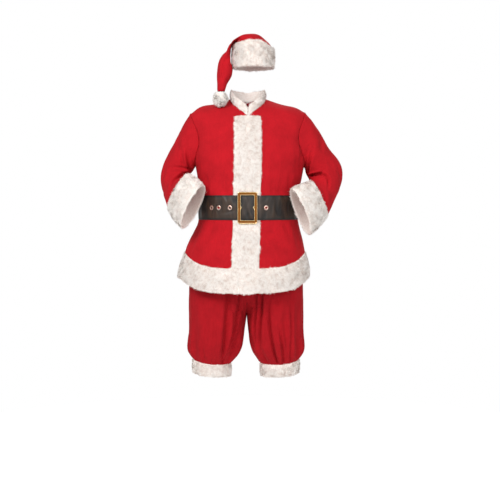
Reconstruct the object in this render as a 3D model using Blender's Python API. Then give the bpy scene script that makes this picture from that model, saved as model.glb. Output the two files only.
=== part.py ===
"""A worn Santa suit as its sewn pieces: jacket, belt, trousers and hat, all open and empty inside.

Metres, +Z up, the front faces -Y. Right and left are the wearer's, so right is -X.
The origin is the centre of the neck's base, where the wearer's shoulders hold the suit.
"""

import math
from collections import namedtuple

import bmesh
import bpy
from mathutils import Vector
from mathutils.bvhtree import BVHTree

# Thicknesses, and the space left between neighbouring pieces
CLOTH = 0.0018
FUR = 0.0105
FUR_EDGE = 0.0050
FUR_UNDER_BELT = 0.0035
PRESSED_BEYOND_BELT = 0.027
GAP = 0.0003
SEAM = 0.00036
CUFF_SEAM = 0.0009
STRAP = 0.0032

# Jacket
SQUARENESS = 0.86
HEM_LIFT_POWER = 5
PLACKET_WIDTH = 0.111
PLACKET_COLUMNS = 2
PANEL_COLUMNS = 8
ARMHOLE_STEPS = 10
COLLAR_HEIGHT = 0.042
HEM_SLIT = 0.0016

# Belt, with the eyelets' places along x
BELT_TOP = -0.4105
BELT_BOTTOM = -0.5135
EYELET_HOLE_R = 0.0046
EYELET_RIM_R = 0.0098
EYELET_THICK = 0.0016
EYELET_X = (-0.152, -0.122, -0.075, 0.076)
BUCKLE_X = -0.002
BUCKLE_WIDTH = 0.083
BUCKLE_HEIGHT = 0.131
BUCKLE_BAR = 0.0140
BUCKLE_THICK = 0.0062
BUCKLE_POINT = 0.0045

# Trousers
CROTCH_X = -0.0056
LEG_COLUMNS = 48
GATHERS = 12
WAISTBAND_THICK = 0.0026
WAISTBAND_TOP = -0.4300
WAISTBAND_BOTTOM = -0.4750

# Hat
HAT_COLUMNS = 20
BRIM_COLUMNS = 32
POMPOM_R = 0.033
POMPOM_CENTRE = Vector((-0.117, -0.062, -0.004))

COLOURS = {
    "red_velour": ((0.58, 0.013, 0.02), 0.85, 0.0),
    "white_fur": ((0.86, 0.81, 0.76), 0.95, 0.0),
    "black_leatherette": ((0.022, 0.018, 0.016), 0.38, 0.0),
    "elastic": ((0.03, 0.03, 0.03), 0.8, 0.0),
    "antique_gold": ((0.42, 0.22, 0.07), 0.34, 1.0),
}

# The jacket's sections from the hem to the underarm; right and left are the side seams' distances from x = 0
BodyRow = namedtuple("BodyRow", "z_front z_side z_back centre right left front back")
BODY = (
    BodyRow(-0.8160, -0.7520, -0.8000, -0.014, 0.2920, 0.263, 0.2130, 0.204),
    BodyRow(-0.7140, -0.6520, -0.7000, -0.011, 0.2690, 0.243, 0.2020, 0.190),
    BodyRow(-0.6100, -0.5960, -0.6050, -0.008, 0.2470, 0.232, 0.1900, 0.170),
    BodyRow(-0.5135, -0.5135, -0.5135, -0.005, 0.2090, 0.212, 0.1755, 0.139),
    BodyRow(-0.4105, -0.4105, -0.4105, -0.004, 0.2090, 0.212, 0.1755, 0.139),
    BodyRow(-0.3450, -0.3450, -0.3450, -0.002, 0.2140, 0.228, 0.1760, 0.148),
    BodyRow(-0.2840, -0.2840, -0.2840, 0.000, 0.2236, 0.239, 0.1680, 0.152),
)
BODY_STEPS = (3, 2, 4, 1, 3, 2)
BELT_LEVELS = (3, 4)

# The inner edge of the yoke above the underarm: up the centre line to the neck in three rows, then round
# the neckline. half is the distance from the centre line; straight is 0 where a row across rounds like
# the chest and 1 on the straight shoulder seam.
YokeRow = namedtuple("YokeRow", "half y z straight")
YOKE_FRONT = (
    YokeRow(0.000, -0.156, -0.205, 0.00),
    YokeRow(0.000, -0.130, -0.130, 0.00),
    YokeRow(0.000, -0.098, -0.078, 0.10),
    YokeRow(0.054, -0.066, -0.036, 0.45),
    YokeRow(0.074, 0.004, 0.000, 1.00),
)
YOKE_BACK = (
    YokeRow(0.000, 0.150, -0.200, 0.00),
    YokeRow(0.000, 0.128, -0.090, 0.00),
    YokeRow(0.000, 0.078, -0.012, 0.20),
    YokeRow(0.052, 0.056, -0.004, 0.50),
    YokeRow(0.074, 0.004, 0.000, 1.00),
)
NECK_ENTRY = 3

# A loop across a sleeve or the hat. out and inn are its two ends in front view, front and back its half
# depths; lean shifts its near side against its far side, and cup draws both sides along x.
Loop = namedtuple("Loop", "out_x out_y out_z inn_x inn_y inn_z front back lean_x lean_z cup")
SLEEVE_RIGHT = (
    Loop(-0.246, 0.012, -0.060, -0.2236, 0.000, -0.284, 0.085, 0.088, 0.000, 0.000, 0.030),
    Loop(-0.279, 0.012, -0.110, -0.2340, 0.003, -0.297, 0.083, 0.086, 0.000, 0.000, 0.012),
    Loop(-0.316, 0.020, -0.183, -0.2390, 0.006, -0.306, 0.077, 0.078, 0.000, 0.000, 0.000),
    Loop(-0.350, 0.030, -0.246, -0.2450, 0.008, -0.313, 0.070, 0.072, 0.000, 0.000, 0.000),
    Loop(-0.375, 0.038, -0.298, -0.2510, 0.006, -0.319, 0.066, 0.068, 0.000, 0.000, 0.000),
    Loop(-0.378, 0.040, -0.348, -0.2560, 0.000, -0.324, 0.063, 0.066, -0.004, 0.002, 0.000),
    Loop(-0.366, 0.026, -0.394, -0.2580, -0.012, -0.327, 0.061, 0.064, -0.010, 0.004, 0.000),
    Loop(-0.350, -0.008, -0.440, -0.2560, -0.038, -0.326, 0.060, 0.062, -0.016, 0.006, 0.000),
    Loop(-0.334, -0.054, -0.476, -0.2470, -0.076, -0.320, 0.060, 0.060, -0.020, 0.008, 0.000),
    Loop(-0.274, -0.140, -0.548, -0.1840, -0.170, -0.372, 0.060, 0.058, -0.019, 0.009, 0.000),
)
SLEEVE_LEFT = (
    Loop(0.242, 0.012, -0.058, 0.2390, 0.000, -0.284, 0.085, 0.088, 0.000, 0.000, -0.030),
    Loop(0.277, 0.012, -0.094, 0.2460, 0.003, -0.300, 0.083, 0.086, 0.000, 0.000, -0.012),
    Loop(0.318, 0.020, -0.157, 0.2490, 0.006, -0.314, 0.077, 0.078, 0.000, 0.000, 0.000),
    Loop(0.358, 0.030, -0.222, 0.2540, 0.008, -0.325, 0.070, 0.072, 0.000, 0.000, 0.000),
    Loop(0.400, 0.038, -0.266, 0.2590, 0.006, -0.334, 0.066, 0.068, 0.000, 0.000, 0.000),
    Loop(0.412, 0.040, -0.312, 0.2640, 0.000, -0.342, 0.063, 0.066, 0.002, 0.001, 0.000),
    Loop(0.402, 0.026, -0.362, 0.2670, -0.012, -0.348, 0.061, 0.064, 0.005, 0.002, 0.000),
    Loop(0.376, -0.008, -0.420, 0.2680, -0.038, -0.351, 0.060, 0.062, 0.008, 0.003, 0.000),
    Loop(0.336, -0.056, -0.498, 0.2640, -0.076, -0.350, 0.060, 0.060, 0.010, 0.004, 0.000),
    Loop(0.258, -0.140, -0.575, 0.1800, -0.170, -0.384, 0.060, 0.058, 0.017, 0.006, 0.000),
)
SLEEVE_STEPS = (2, 2, 2, 1, 1, 1, 1, 1, 3)
CUFF_STEPS = SLEEVE_STEPS[-1]

# The hat's crown from inside the brim, up, over to the right, and down to the pompom
HAT = (
    Loop(-0.0600, 0.000, 0.1960, 0.1052, 0.000, 0.1960, 0.0950, 0.0950, 0, 0, 0),
    Loop(-0.0580, 0.000, 0.2300, 0.1023, 0.000, 0.2250, 0.0920, 0.0920, 0, 0, 0),
    Loop(-0.0530, 0.000, 0.2400, 0.0774, 0.002, 0.2440, 0.0850, 0.0850, 0, 0, 0),
    Loop(-0.0525, 0.002, 0.2430, 0.0538, 0.004, 0.2620, 0.0790, 0.0790, 0, 0, 0),
    Loop(-0.0540, 0.003, 0.2440, 0.0280, 0.005, 0.2765, 0.0730, 0.0740, 0, 0, 0),
    Loop(-0.0565, 0.004, 0.2450, -0.0040, 0.005, 0.2755, 0.0690, 0.0690, 0, 0, 0),
    Loop(-0.0605, 0.004, 0.2440, -0.0370, 0.005, 0.2580, 0.0660, 0.0650, 0, 0, 0),
    Loop(-0.0665, 0.004, 0.2380, -0.0635, 0.003, 0.2425, 0.0630, 0.0610, 0, 0, 0),
    Loop(-0.0745, 0.002, 0.2260, -0.0815, 0.000, 0.2190, 0.0590, 0.0570, 0, 0, 0),
    Loop(-0.0775, -0.002, 0.1900, -0.1035, -0.004, 0.1870, 0.0540, 0.0510, 0, 0, 0),
    Loop(-0.0780, -0.008, 0.1560, -0.1210, -0.010, 0.1550, 0.0470, 0.0440, 0, 0, 0),
    Loop(-0.0790, -0.018, 0.1200, -0.1270, -0.020, 0.1200, 0.0410, 0.0380, 0, 0, 0),
    Loop(-0.0870, -0.034, 0.0750, -0.1300, -0.036, 0.0730, 0.0330, 0.0300, 0, 0, 0),
    Loop(-0.1000, -0.053, 0.0300, -0.1280, -0.055, 0.0276, 0.0160, 0.0150, 0, 0, 0),
)
HAT_STEPS = (1, 1, 1, 1, 1, 2, 1, 1, 1, 2, 1, 2, 1)
BRIM_X = 0.0226
BRIM_HALF_WIDTH = 0.0850
BRIM_HALF_DEPTH = 0.0975
BRIM_BOTTOM = 0.132
BRIM_TOP = 0.227
BRIM_RISE_FRONT = 0.016
BRIM_RISE_BACK = 0.009
BRIM_ROWS = 4

# A trouser leg from the end inside the knee fur up to the waist; outer and inner are x in front view.
# open is 0 where the leg is a closed tube and 1 where its edges run along the centre front and back.
LegRow = namedtuple("LegRow", "z outer inner front back y wave open")
LEG_RIGHT = (
    LegRow(-1.1880, -0.2340, -0.0790, 0.073, 0.073, 0.004, 0.0000, 0.0),
    LegRow(-1.1320, -0.2345, -0.0780, 0.075, 0.075, 0.004, 0.0015, 0.0),
    LegRow(-1.1080, -0.2470, -0.0520, 0.096, 0.098, 0.004, 0.0060, 0.0),
    LegRow(-1.0680, -0.2545, -0.0270, 0.113, 0.116, 0.002, 0.0080, 0.0),
    LegRow(-1.0050, -0.2490, -0.0210, 0.119, 0.122, 0.000, 0.0055, 0.0),
    LegRow(-0.9280, -0.2530, -0.0080, 0.130, 0.130, 0.000, 0.0026, 0.0),
    LegRow(-0.8750, -0.2530, CROTCH_X, 0.143, 0.140, -0.004, 0.0010, 0.6),
    LegRow(-0.8000, -0.2510, CROTCH_X, 0.156, 0.148, -0.006, 0.0008, 1.0),
    LegRow(-0.6900, -0.2380, CROTCH_X, 0.164, 0.152, -0.006, 0.0010, 1.0),
    LegRow(-0.5800, -0.2060, CROTCH_X, 0.164, 0.138, -0.006, 0.0022, 1.0),
    LegRow(-0.4755, -0.2035, CROTCH_X, 0.168, 0.133, -0.002, 0.0008, 1.0),
)
LEG_LEFT = (
    LegRow(-1.1880, 0.2160, 0.0590, 0.073, 0.073, 0.004, 0.0000, 0.0),
    LegRow(-1.1320, 0.2170, 0.0580, 0.075, 0.075, 0.004, 0.0015, 0.0),
    LegRow(-1.1080, 0.2330, 0.0400, 0.096, 0.098, 0.004, 0.0060, 0.0),
    LegRow(-1.0680, 0.2430, 0.0200, 0.113, 0.116, 0.002, 0.0080, 0.0),
    LegRow(-1.0050, 0.2350, 0.0080, 0.119, 0.122, 0.000, 0.0055, 0.0),
    LegRow(-0.9280, 0.2350, -0.0035, 0.130, 0.130, 0.000, 0.0026, 0.0),
    LegRow(-0.8750, 0.2370, CROTCH_X, 0.143, 0.140, -0.004, 0.0010, 0.6),
    LegRow(-0.8000, 0.2370, CROTCH_X, 0.156, 0.148, -0.006, 0.0008, 1.0),
    LegRow(-0.6900, 0.2240, CROTCH_X, 0.164, 0.152, -0.006, 0.0010, 1.0),
    LegRow(-0.5800, 0.2070, CROTCH_X, 0.164, 0.138, -0.006, 0.0022, 1.0),
    LegRow(-0.4755, 0.2060, CROTCH_X, 0.168, 0.133, -0.002, 0.0008, 1.0),
)
LEG_STEPS = (2, 1, 1, 1, 1, 1, 1, 1, 1, 1)
KNEE_STEPS = LEG_STEPS[0]

# The largest folds, as lines in front view; side is -1 on the front and 1 on the back, depth is outwards
Fold = namedtuple("Fold", "side x0 z0 x1 z1 width depth")
JACKET_FOLDS = (
    Fold(-1, 0.104, -0.240, 0.092, -0.370, 0.018, 0.0035),
    Fold(-1, -0.150, -0.270, -0.132, -0.370, 0.020, -0.0040),
    Fold(-1, 0.170, -0.230, 0.150, -0.370, 0.020, -0.0040),
    Fold(-1, -0.120, -0.570, -0.150, -0.690, 0.026, 0.0045),
    Fold(-1, 0.110, -0.570, 0.150, -0.690, 0.026, -0.0050),
    Fold(1, -0.060, -0.180, -0.085, -0.370, 0.024, -0.0060),
    Fold(1, 0.070, -0.170, 0.080, -0.370, 0.024, -0.0060),
    Fold(1, 0.005, -0.250, 0.000, -0.370, 0.022, 0.0050),
    Fold(1, -0.090, -0.560, -0.130, -0.800, 0.030, 0.0080),
    Fold(1, 0.020, -0.560, 0.025, -0.800, 0.030, 0.0070),
    Fold(1, 0.120, -0.560, 0.160, -0.800, 0.030, 0.0080),
)
SLEEVE_FOLDS_RIGHT = (
    Fold(-1, -0.262, -0.130, -0.240, -0.280, 0.013, -0.0085),
    Fold(-1, -0.284, -0.170, -0.258, -0.280, 0.012, 0.0060),
    Fold(-1, -0.350, -0.295, -0.268, -0.312, 0.014, -0.0060),
    Fold(-1, -0.345, -0.370, -0.272, -0.325, 0.014, 0.0070),
    Fold(-1, -0.330, -0.415, -0.285, -0.350, 0.012, -0.0060),
    Fold(1, -0.270, -0.130, -0.255, -0.280, 0.014, -0.0080),
    Fold(1, -0.355, -0.280, -0.266, -0.312, 0.015, -0.0060),
    Fold(1, -0.345, -0.370, -0.272, -0.325, 0.015, 0.0060),
)
SLEEVE_FOLDS_LEFT = (
    Fold(-1, 0.264, -0.130, 0.254, -0.290, 0.013, -0.0085),
    Fold(-1, 0.284, -0.160, 0.268, -0.290, 0.012, 0.0060),
    Fold(-1, 0.360, -0.280, 0.280, -0.325, 0.014, -0.0060),
    Fold(-1, 0.378, -0.345, 0.290, -0.340, 0.014, 0.0070),
    Fold(-1, 0.345, -0.430, 0.290, -0.358, 0.013, -0.0070),
    Fold(1, 0.275, -0.130, 0.262, -0.290, 0.014, -0.0080),
    Fold(1, 0.372, -0.270, 0.275, -0.325, 0.015, -0.0060),
    Fold(1, 0.360, -0.370, 0.280, -0.348, 0.015, 0.0060),
)
HAT_FOLDS = (
    Fold(-1, 0.060, 0.252, -0.040, 0.262, 0.012, -0.0050),
    Fold(-1, 0.020, 0.270, -0.055, 0.254, 0.010, 0.0040),
    Fold(-1, -0.090, 0.215, -0.098, 0.110, 0.011, -0.0045),
    Fold(1, 0.060, 0.252, -0.040, 0.262, 0.012, -0.0050),
    Fold(1, -0.090, 0.215, -0.100, 0.120, 0.011, -0.0045),
)

Patch = namedtuple("Patch", "points normals")
RIGHT_FRONT, LEFT_FRONT, RIGHT_BACK, LEFT_BACK = QUARTERS = ((-1, -1), (1, -1), (-1, 1), (1, 1))


# Curves and folds

def spline(rows, t):
    """The Catmull-Rom value of a table at t, counted in rows."""
    i = max(0, min(int(t), len(rows) - 2))
    f = t - i
    before, start, end, after = (rows[max(0, min(k, len(rows) - 1))] for k in range(i - 1, i + 3))
    values = []
    for p, q, r, s in zip(before, start, end, after):
        bend = 2 * p - 5 * q + 4 * r - s + f * (3 * (q - r) + s - p)
        values.append(q + 0.5 * f * (r - p + f * bend))
    return type(start)(*values)


def steps_of(counts):
    """Places along a table whose intervals are cut into these numbers of steps."""
    places = [k + n / count for k, count in enumerate(counts) for n in range(count)]
    return places + [float(len(counts))]


def fold_relief(folds, side, x, z):
    """How far the folds on one side lift the cloth at a point in front view."""
    lift = 0.0
    for fold in folds:
        if fold.side != side:
            continue
        run = Vector((fold.x1 - fold.x0, fold.z1 - fold.z0))
        place = Vector((x - fold.x0, z - fold.z0))
        along = max(0.0, min(1.0, place.dot(run) / run.length_squared))
        off = (place - run * along).length
        taper = math.sin(math.pi * (0.12 + 0.76 * along))
        lift += fold.depth * taper * math.exp(-((off / fold.width) ** 2))
    return lift


def pushed(point, centre, distance):
    """The point moved away from the centre."""
    return point + (point - centre).normalized() * distance


# Surfaces and walls

def add_cells(bm, known, points):
    """Triangles over a grid of points, welded to the vertices already known. Returns the grid of vertices."""
    cells = []
    for row in points:
        line = []
        for point in row:
            key = tuple(round(c, 6) for c in point)
            if key not in known:
                known[key] = bm.verts.new(point)
            line.append(known[key])
        cells.append(line)
    for low, high in zip(cells, cells[1:]):
        for a, b, c, d in zip(low, low[1:], high[1:], high):
            for corners in ((a, b, c), (a, c, d)):
                if len(set(corners)) == 3:
                    bm.faces.new(corners)
    return cells


def skin(grids):
    """Patches over grids of points, with normals that face out and are shared where grids meet."""
    bm = bmesh.new()
    known = {}
    sheets = [add_cells(bm, known, grid) for grid in grids]
    bmesh.ops.recalc_face_normals(bm, faces=bm.faces)
    bm.normal_update()
    outwards = 0.0
    for sheet in sheets:
        for line in sheet:
            middle = sum((v.co for v in line), Vector()) / len(line)
            outwards += sum(v.normal.dot(v.co - middle) for v in line)
    sign = 1 if outwards > 0 else -1
    patches = []
    for grid, sheet in zip(grids, sheets):
        patches.append(Patch(grid, [[v.normal * sign for v in line] for line in sheet]))
    bm.free()
    return patches


def cut(patch, rows=slice(None), columns=slice(None)):
    return Patch([line[columns] for line in patch.points[rows]], [line[columns] for line in patch.normals[rows]])


def between(patch, row, share_low, share_high):
    """A patch between two heights inside one row of cells."""
    lines = []
    normals = []
    for share in (share_low, share_high):
        low, high = patch.points[row], patch.points[row + 1]
        lines.append([a.lerp(b, share) for a, b in zip(low, high)])
        low, high = patch.normals[row], patch.normals[row + 1]
        normals.append([a.lerp(b, share).normalized() for a, b in zip(low, high)])
    return Patch(lines, normals)


def parted(patch, column, gap):
    """The patches on both sides of a column, each drawn back from it by half the gap."""
    near = cut(patch, columns=slice(0, column + 1))
    far = cut(patch, columns=slice(column, None))
    for line in near.points:
        line[-1] = line[-1] + (line[-2] - line[-1]).normalized() * gap / 2
    for line in far.points:
        line[0] = line[0] + (line[1] - line[0]).normalized() * gap / 2
    return near, far


def seam_pull(vert, gap):
    """The move that takes a vertex on a free edge back into its own piece by half the gap."""
    move = Vector()
    for edge in vert.link_edges:
        if edge.is_boundary:
            face = edge.link_faces[0]
            into = (edge.verts[1].co - edge.verts[0].co).cross(face.normal).normalized()
            if into.dot(face.calc_center_median() - edge.verts[0].co) < 0:
                into.negate()
            move += into
    return move.normalized() * gap / 2 if move.length > 1e-9 else move


def value_at(height, point):
    return height(point) if callable(height) else height


def wall(name, patches, material, low=0.0, high=CLOTH, edge=None, plane=None, gap=SEAM):
    """A closed wall over patches, between two heights along their normals, its free edges drawn back.
    Heights are numbers or functions of a point; edge is the outer height on a free edge.
    plane is (x, side), which the wall stays on."""
    bm = bmesh.new()
    known = {}
    normal = {}
    for patch in patches:
        for line, normals in zip(add_cells(bm, known, patch.points), patch.normals):
            normal.update(zip(line, normals))
    bmesh.ops.recalc_face_normals(bm, faces=bm.faces)
    bm.normal_update()
    if sum(v.normal.dot(normal[v]) for v in bm.verts) < 0:
        bmesh.ops.reverse_faces(bm, faces=bm.faces)
        bm.normal_update()
    solid = bmesh.new()
    inner, outer = {}, {}
    for vert in bm.verts:
        free = any(e.is_boundary for e in vert.link_edges)
        place = vert.co + (seam_pull(vert, gap) if free else Vector())
        top = value_at(edge if free and edge is not None else high, vert.co)
        ends = [place + normal[vert] * value_at(low, vert.co), place + normal[vert] * top]
        if plane is not None:
            x, side = plane
            over = max(0.0, max(GAP / 2 - side * (end.x - x) for end in ends))
            for end in ends:
                end.x += side * over
        inner[vert], outer[vert] = (solid.verts.new(end) for end in ends)
    for face in bm.faces:
        solid.faces.new([outer[v] for v in face.verts])
        solid.faces.new([inner[v] for v in reversed(face.verts)])
        for loop in face.loops:
            if loop.edge.is_boundary:
                a, b = loop.vert, loop.link_loop_next.vert
                solid.faces.new((outer[b], outer[a], inner[a], inner[b]))
    bm.free()
    return add_object(name, solid, material)


def add_object(name, bm, material, sharp_degrees=50):
    """A named object from a bmesh, shaded smooth but for its sharp edges."""
    mesh = bpy.data.meshes.new(name)
    bm.to_mesh(mesh)
    bm.free()
    mesh.materials.append(bpy.data.materials[material])
    mesh.shade_smooth()
    mesh.set_sharp_from_angle(angle=math.radians(sharp_degrees))
    obj = bpy.data.objects.new(name, mesh)
    bpy.context.scene.collection.objects.link(obj)
    return obj


def make_material(name):
    colour, roughness, metallic = COLOURS[name]
    material = bpy.data.materials.new(name)
    material.use_nodes = True
    shader = material.node_tree.nodes["Principled BSDF"]
    shader.inputs["Base Color"].default_value = (*colour, 1.0)
    shader.inputs["Roughness"].default_value = roughness
    shader.inputs["Metallic"].default_value = metallic
    material.diffuse_color = (*colour, 1.0)


# Jacket

def column_shares(half_width):
    """The columns of half a panel as shares of a quarter turn, one of them on the placket's edge."""
    placket = math.asin(min(0.8, PLACKET_WIDTH / 2 / half_width)) * 2 / math.pi
    rest = PANEL_COLUMNS - PLACKET_COLUMNS
    inside = [placket * n / PLACKET_COLUMNS for n in range(PLACKET_COLUMNS)]
    return inside + [placket + (1 - placket) * n / rest for n in range(rest + 1)]


def body_line(level, side, facing):
    """Points across half a panel below the underarm, from the centre to the side seam."""
    row = spline(BODY, level)
    edge = row.left if side > 0 else -row.right
    depth = -row.front if facing < 0 else row.back
    middle = row.z_front if facing < 0 else row.z_back
    belted = BELT_LEVELS[0] <= level <= BELT_LEVELS[1]
    line = []
    for share in column_shares(abs(edge - row.centre)):
        turn = share * math.pi / 2
        point = Vector((
            row.centre + (edge - row.centre) * math.sin(turn),
            depth * max(0.0, math.cos(turn)) ** SQUARENESS,
            middle + (row.z_side - middle) * math.sin(turn) ** HEM_LIFT_POWER,
        ))
        if not belted and share < 1:
            lift = fold_relief(JACKET_FOLDS, facing, point.x, point.z) * math.cos(turn) ** 0.5
            point = pushed(point, Vector((row.centre, 0.0, point.z)), lift)
        line.append(point)
    return line


def loop_point(row, turn):
    """A point on a loop: turn is 0 at its out end, a quarter at its near side and a half at its inner end."""
    across = math.cos(2 * math.pi * turn)
    near = math.sin(2 * math.pi * turn)
    out_end = Vector((row.out_x, row.out_y, row.out_z))
    inner_end = Vector((row.inn_x, row.inn_y, row.inn_z))
    point = (out_end + inner_end) / 2 + (out_end - inner_end) / 2 * across
    point.x += row.lean_x * near + row.cup * near ** 4
    point.y -= near * (row.front if near > 0 else row.back)
    point.z += row.lean_z * near
    return point


def armhole_point(side, facing, share):
    """A point on the armhole, from 0 at the underarm to 1 at the shoulder's tip."""
    row = (SLEEVE_LEFT if side > 0 else SLEEVE_RIGHT)[0]
    turn = 0.5 * (1 - share)
    return loop_point(row, turn if facing < 0 else 1 - turn)


def yoke_line(side, facing, share):
    """Points across half a panel above the underarm, from the centre line or neckline to the armhole."""
    last = BODY[-1]
    start = YokeRow(0.0, last.front * -1 if facing < 0 else last.back, last.z_front, 0.0)
    table = (start, *(YOKE_FRONT if facing < 0 else YOKE_BACK))
    row = spline(table, share * (len(table) - 1))
    straight = max(0.0, min(1.0, row.straight))
    inner = Vector((side * max(0.0, row.half), row.y, row.z))
    edge = armhole_point(side, facing, share)
    line = []
    for place in column_shares(abs(edge.x - inner.x)):
        turn = place * math.pi / 2
        sine, cosine = math.sin(turn), max(0.0, math.cos(turn))
        rounded = Vector((
            inner.x + (edge.x - inner.x) * sine,
            edge.y + (inner.y - edge.y) * cosine ** SQUARENESS,
            inner.z + (edge.z - inner.z) * (1 - cosine),
        ))
        point = rounded.lerp(inner.lerp(edge, place), straight)
        if place < 1:
            lift = fold_relief(JACKET_FOLDS, facing, point.x, point.z) * cosine ** 0.5 * (1 - straight)
            point = pushed(point, Vector((0.0, 0.0, point.z)), lift)
        line.append(point)
    return line


BODY_LEVELS = steps_of(BODY_STEPS)
UNDERARM = len(BODY_LEVELS) - 1
HEM_TOP = BODY_STEPS[0]
BELT_ROW = sum(BODY_STEPS[:BELT_LEVELS[0]])
NECK = UNDERARM + ARMHOLE_STEPS * NECK_ENTRY // len(YOKE_FRONT)


def torso_skin():
    """The whole jacket body as one surface in four quarters: rows from the hem up, columns from the centre."""
    grids = []
    for side, facing in QUARTERS:
        rows = [body_line(level, side, facing) for level in BODY_LEVELS]
        rows += [yoke_line(side, facing, (n + 1) / ARMHOLE_STEPS) for n in range(ARMHOLE_STEPS)]
        grids.append(rows)
    return dict(zip(QUARTERS, skin(grids)))


def placket_height(point):
    """The fur's thickness, pressed flat where the belt crosses it."""
    beyond = max(BELT_BOTTOM - point.z, point.z - BELT_TOP, 0.0)
    return CLOTH + GAP + (FUR_UNDER_BELT if beyond < PRESSED_BEYOND_BELT else FUR)


def placket_edge_height(point):
    return min(placket_height(point), CLOTH + GAP + FUR_EDGE)


def build_jacket(torso):
    """Two fronts and the back, then the fur along the front, the hem and the neck."""
    wall("jacket_front_right", [torso[RIGHT_FRONT]], "red_velour")
    wall("jacket_front_left", [torso[LEFT_FRONT]], "red_velour")
    wall("jacket_back", [torso[RIGHT_BACK], torso[LEFT_BACK]], "red_velour")
    rows, columns = slice(HEM_TOP, NECK + 1), slice(0, PLACKET_COLUMNS + 1)
    strips = [cut(torso[quarter], rows, columns) for quarter in (RIGHT_FRONT, LEFT_FRONT)]
    wall("placket_fur", strips, "white_fur", CLOTH + GAP, placket_height, placket_edge_height)
    band = {quarter: cut(patch, slice(0, HEM_TOP + 1)) for quarter, patch in torso.items()}
    strips = [*parted(band[RIGHT_FRONT], 1, HEM_SLIT), band[LEFT_FRONT], band[RIGHT_BACK], band[LEFT_BACK]]
    lift = CLOTH + GAP
    wall("hem_fur", strips, "white_fur", lift, lift + FUR, lift + FUR_EDGE)
    build_collar(torso)


def build_collar(torso):
    """A stand-up band on the neckline that parts at the centre front."""
    heights = (0.0026, COLLAR_HEIGHT * 0.35, COLLAR_HEIGHT * 0.7, COLLAR_HEIGHT)
    grids = []
    for quarter in QUARTERS:
        neck = [line[0] for line in torso[quarter].points[NECK:]]
        if quarter in (RIGHT_FRONT, LEFT_FRONT):
            neck[0] = neck[0] + Vector((quarter[0] * HEM_SLIT / 2, 0.0, 0.0))
        grid = []
        for height in heights:
            drawn_in = 1 - 0.9 * height
            grid.append([Vector((p.x * drawn_in, p.y * drawn_in, p.z + height)) for p in neck])
        grids.append(grid)
    wall("collar_fur", skin(grids), "white_fur", 0.0, FUR * 0.85, FUR_EDGE)


# Sleeves

def sleeve_grid(table, folds):
    columns = 2 * ARMHOLE_STEPS
    rows = []
    for level in steps_of(SLEEVE_STEPS):
        row = spline(table, level)
        middle = (loop_point(row, 0.0) + loop_point(row, 0.5)) / 2
        fade = max(0.0, min(1.0, level, len(table) - 2 - level))
        line = []
        for n in range(columns):
            turn = n / columns
            near = math.sin(2 * math.pi * turn)
            point = loop_point(row, turn)
            side = -1 if near > 0 else 1
            lift = fold_relief(folds, side, point.x, point.z) * abs(near) ** 0.5 * fade
            line.append(pushed(point, middle, lift))
        rows.append(line + line[:1])
    return rows


def armhole_normals(torso, side):
    """The jacket's normals along an armhole, in the order of a sleeve loop's columns."""
    front = [line[-1] for line in torso[side, -1].normals[UNDERARM:]]
    back = [line[-1] for line in torso[side, 1].normals[UNDERARM:]]
    return front[::-1] + back[1:]


def build_sleeve(torso, side, table, folds, word):
    """A sleeve from just outside the armhole to the wrist, and the fur cuff that goes on from it."""
    rows = sleeve_grid(table, folds)
    leaning = skin([rows])[0].normals[0]
    start = []
    for point, own, body in zip(rows[0], leaning, armhole_normals(torso, side)):
        clear = CLOTH + 3 * GAP + CLOTH * max(0.0, -own.dot(body)) * 1.5
        start.append(point + body * clear)
    rows[0] = start
    whole, = skin([rows])
    wrist = len(rows) - 1 - CUFF_STEPS
    wall(f"sleeve_{word}", [cut(whole, slice(0, wrist + 1))], "red_velour")
    wall(f"cuff_fur_{word}", [cut(whole, slice(wrist, None))], "white_fur", 0.0, FUR, FUR_EDGE, gap=CUFF_SEAM)


# Belt

def strap_low(point):
    """The belt's inner height, over the pressed placket in front and over the cloth elsewhere."""
    over_fur = point.y < 0 and abs(point.x - BODY[BELT_LEVELS[0]].centre) < PLACKET_WIDTH / 2 + 0.004
    return CLOTH + 2 * GAP + FUR_UNDER_BELT if over_fur else CLOTH + GAP


def build_belt(torso):
    """A strap round the jacket whose ends meet behind the buckle, its eyelets and the buckle."""
    rows = slice(BELT_ROW, BELT_ROW + 2)
    ring = {quarter: cut(patch, rows) for quarter, patch in torso.items()}
    strips = [*parted(ring[RIGHT_FRONT], 1, HEM_SLIT), ring[LEFT_FRONT], ring[RIGHT_BACK], ring[LEFT_BACK]]
    strap = wall("belt_strap", strips, "black_leatherette", strap_low, lambda p: strap_low(p) + STRAP)
    tree = BVHTree.FromPolygons([v.co for v in strap.data.vertices], [p.vertices for p in strap.data.polygons])
    middle = (BELT_TOP + BELT_BOTTOM) / 2
    for number, x in enumerate(EYELET_X, 1):
        place, normal, _, _ = tree.ray_cast(Vector((x, -1.0, middle)), Vector((0, 1, 0)))
        turn = Vector((0, 0, 1)).rotation_difference(normal).to_matrix().to_4x4()
        drill(strap, number, place, turn)
        build_eyelet(number, place + normal * GAP, turn)
    reach = BUCKLE_WIDTH / 2 - BUCKLE_BAR - BUCKLE_POINT
    touches = [tree.ray_cast(Vector((BUCKLE_X + x, -1.0, middle)), Vector((0, 1, 0)))[0] for x in (-reach, reach)]
    build_buckle(Vector((BUCKLE_X, min(touch.y for touch in touches) - GAP, middle)))


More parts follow.
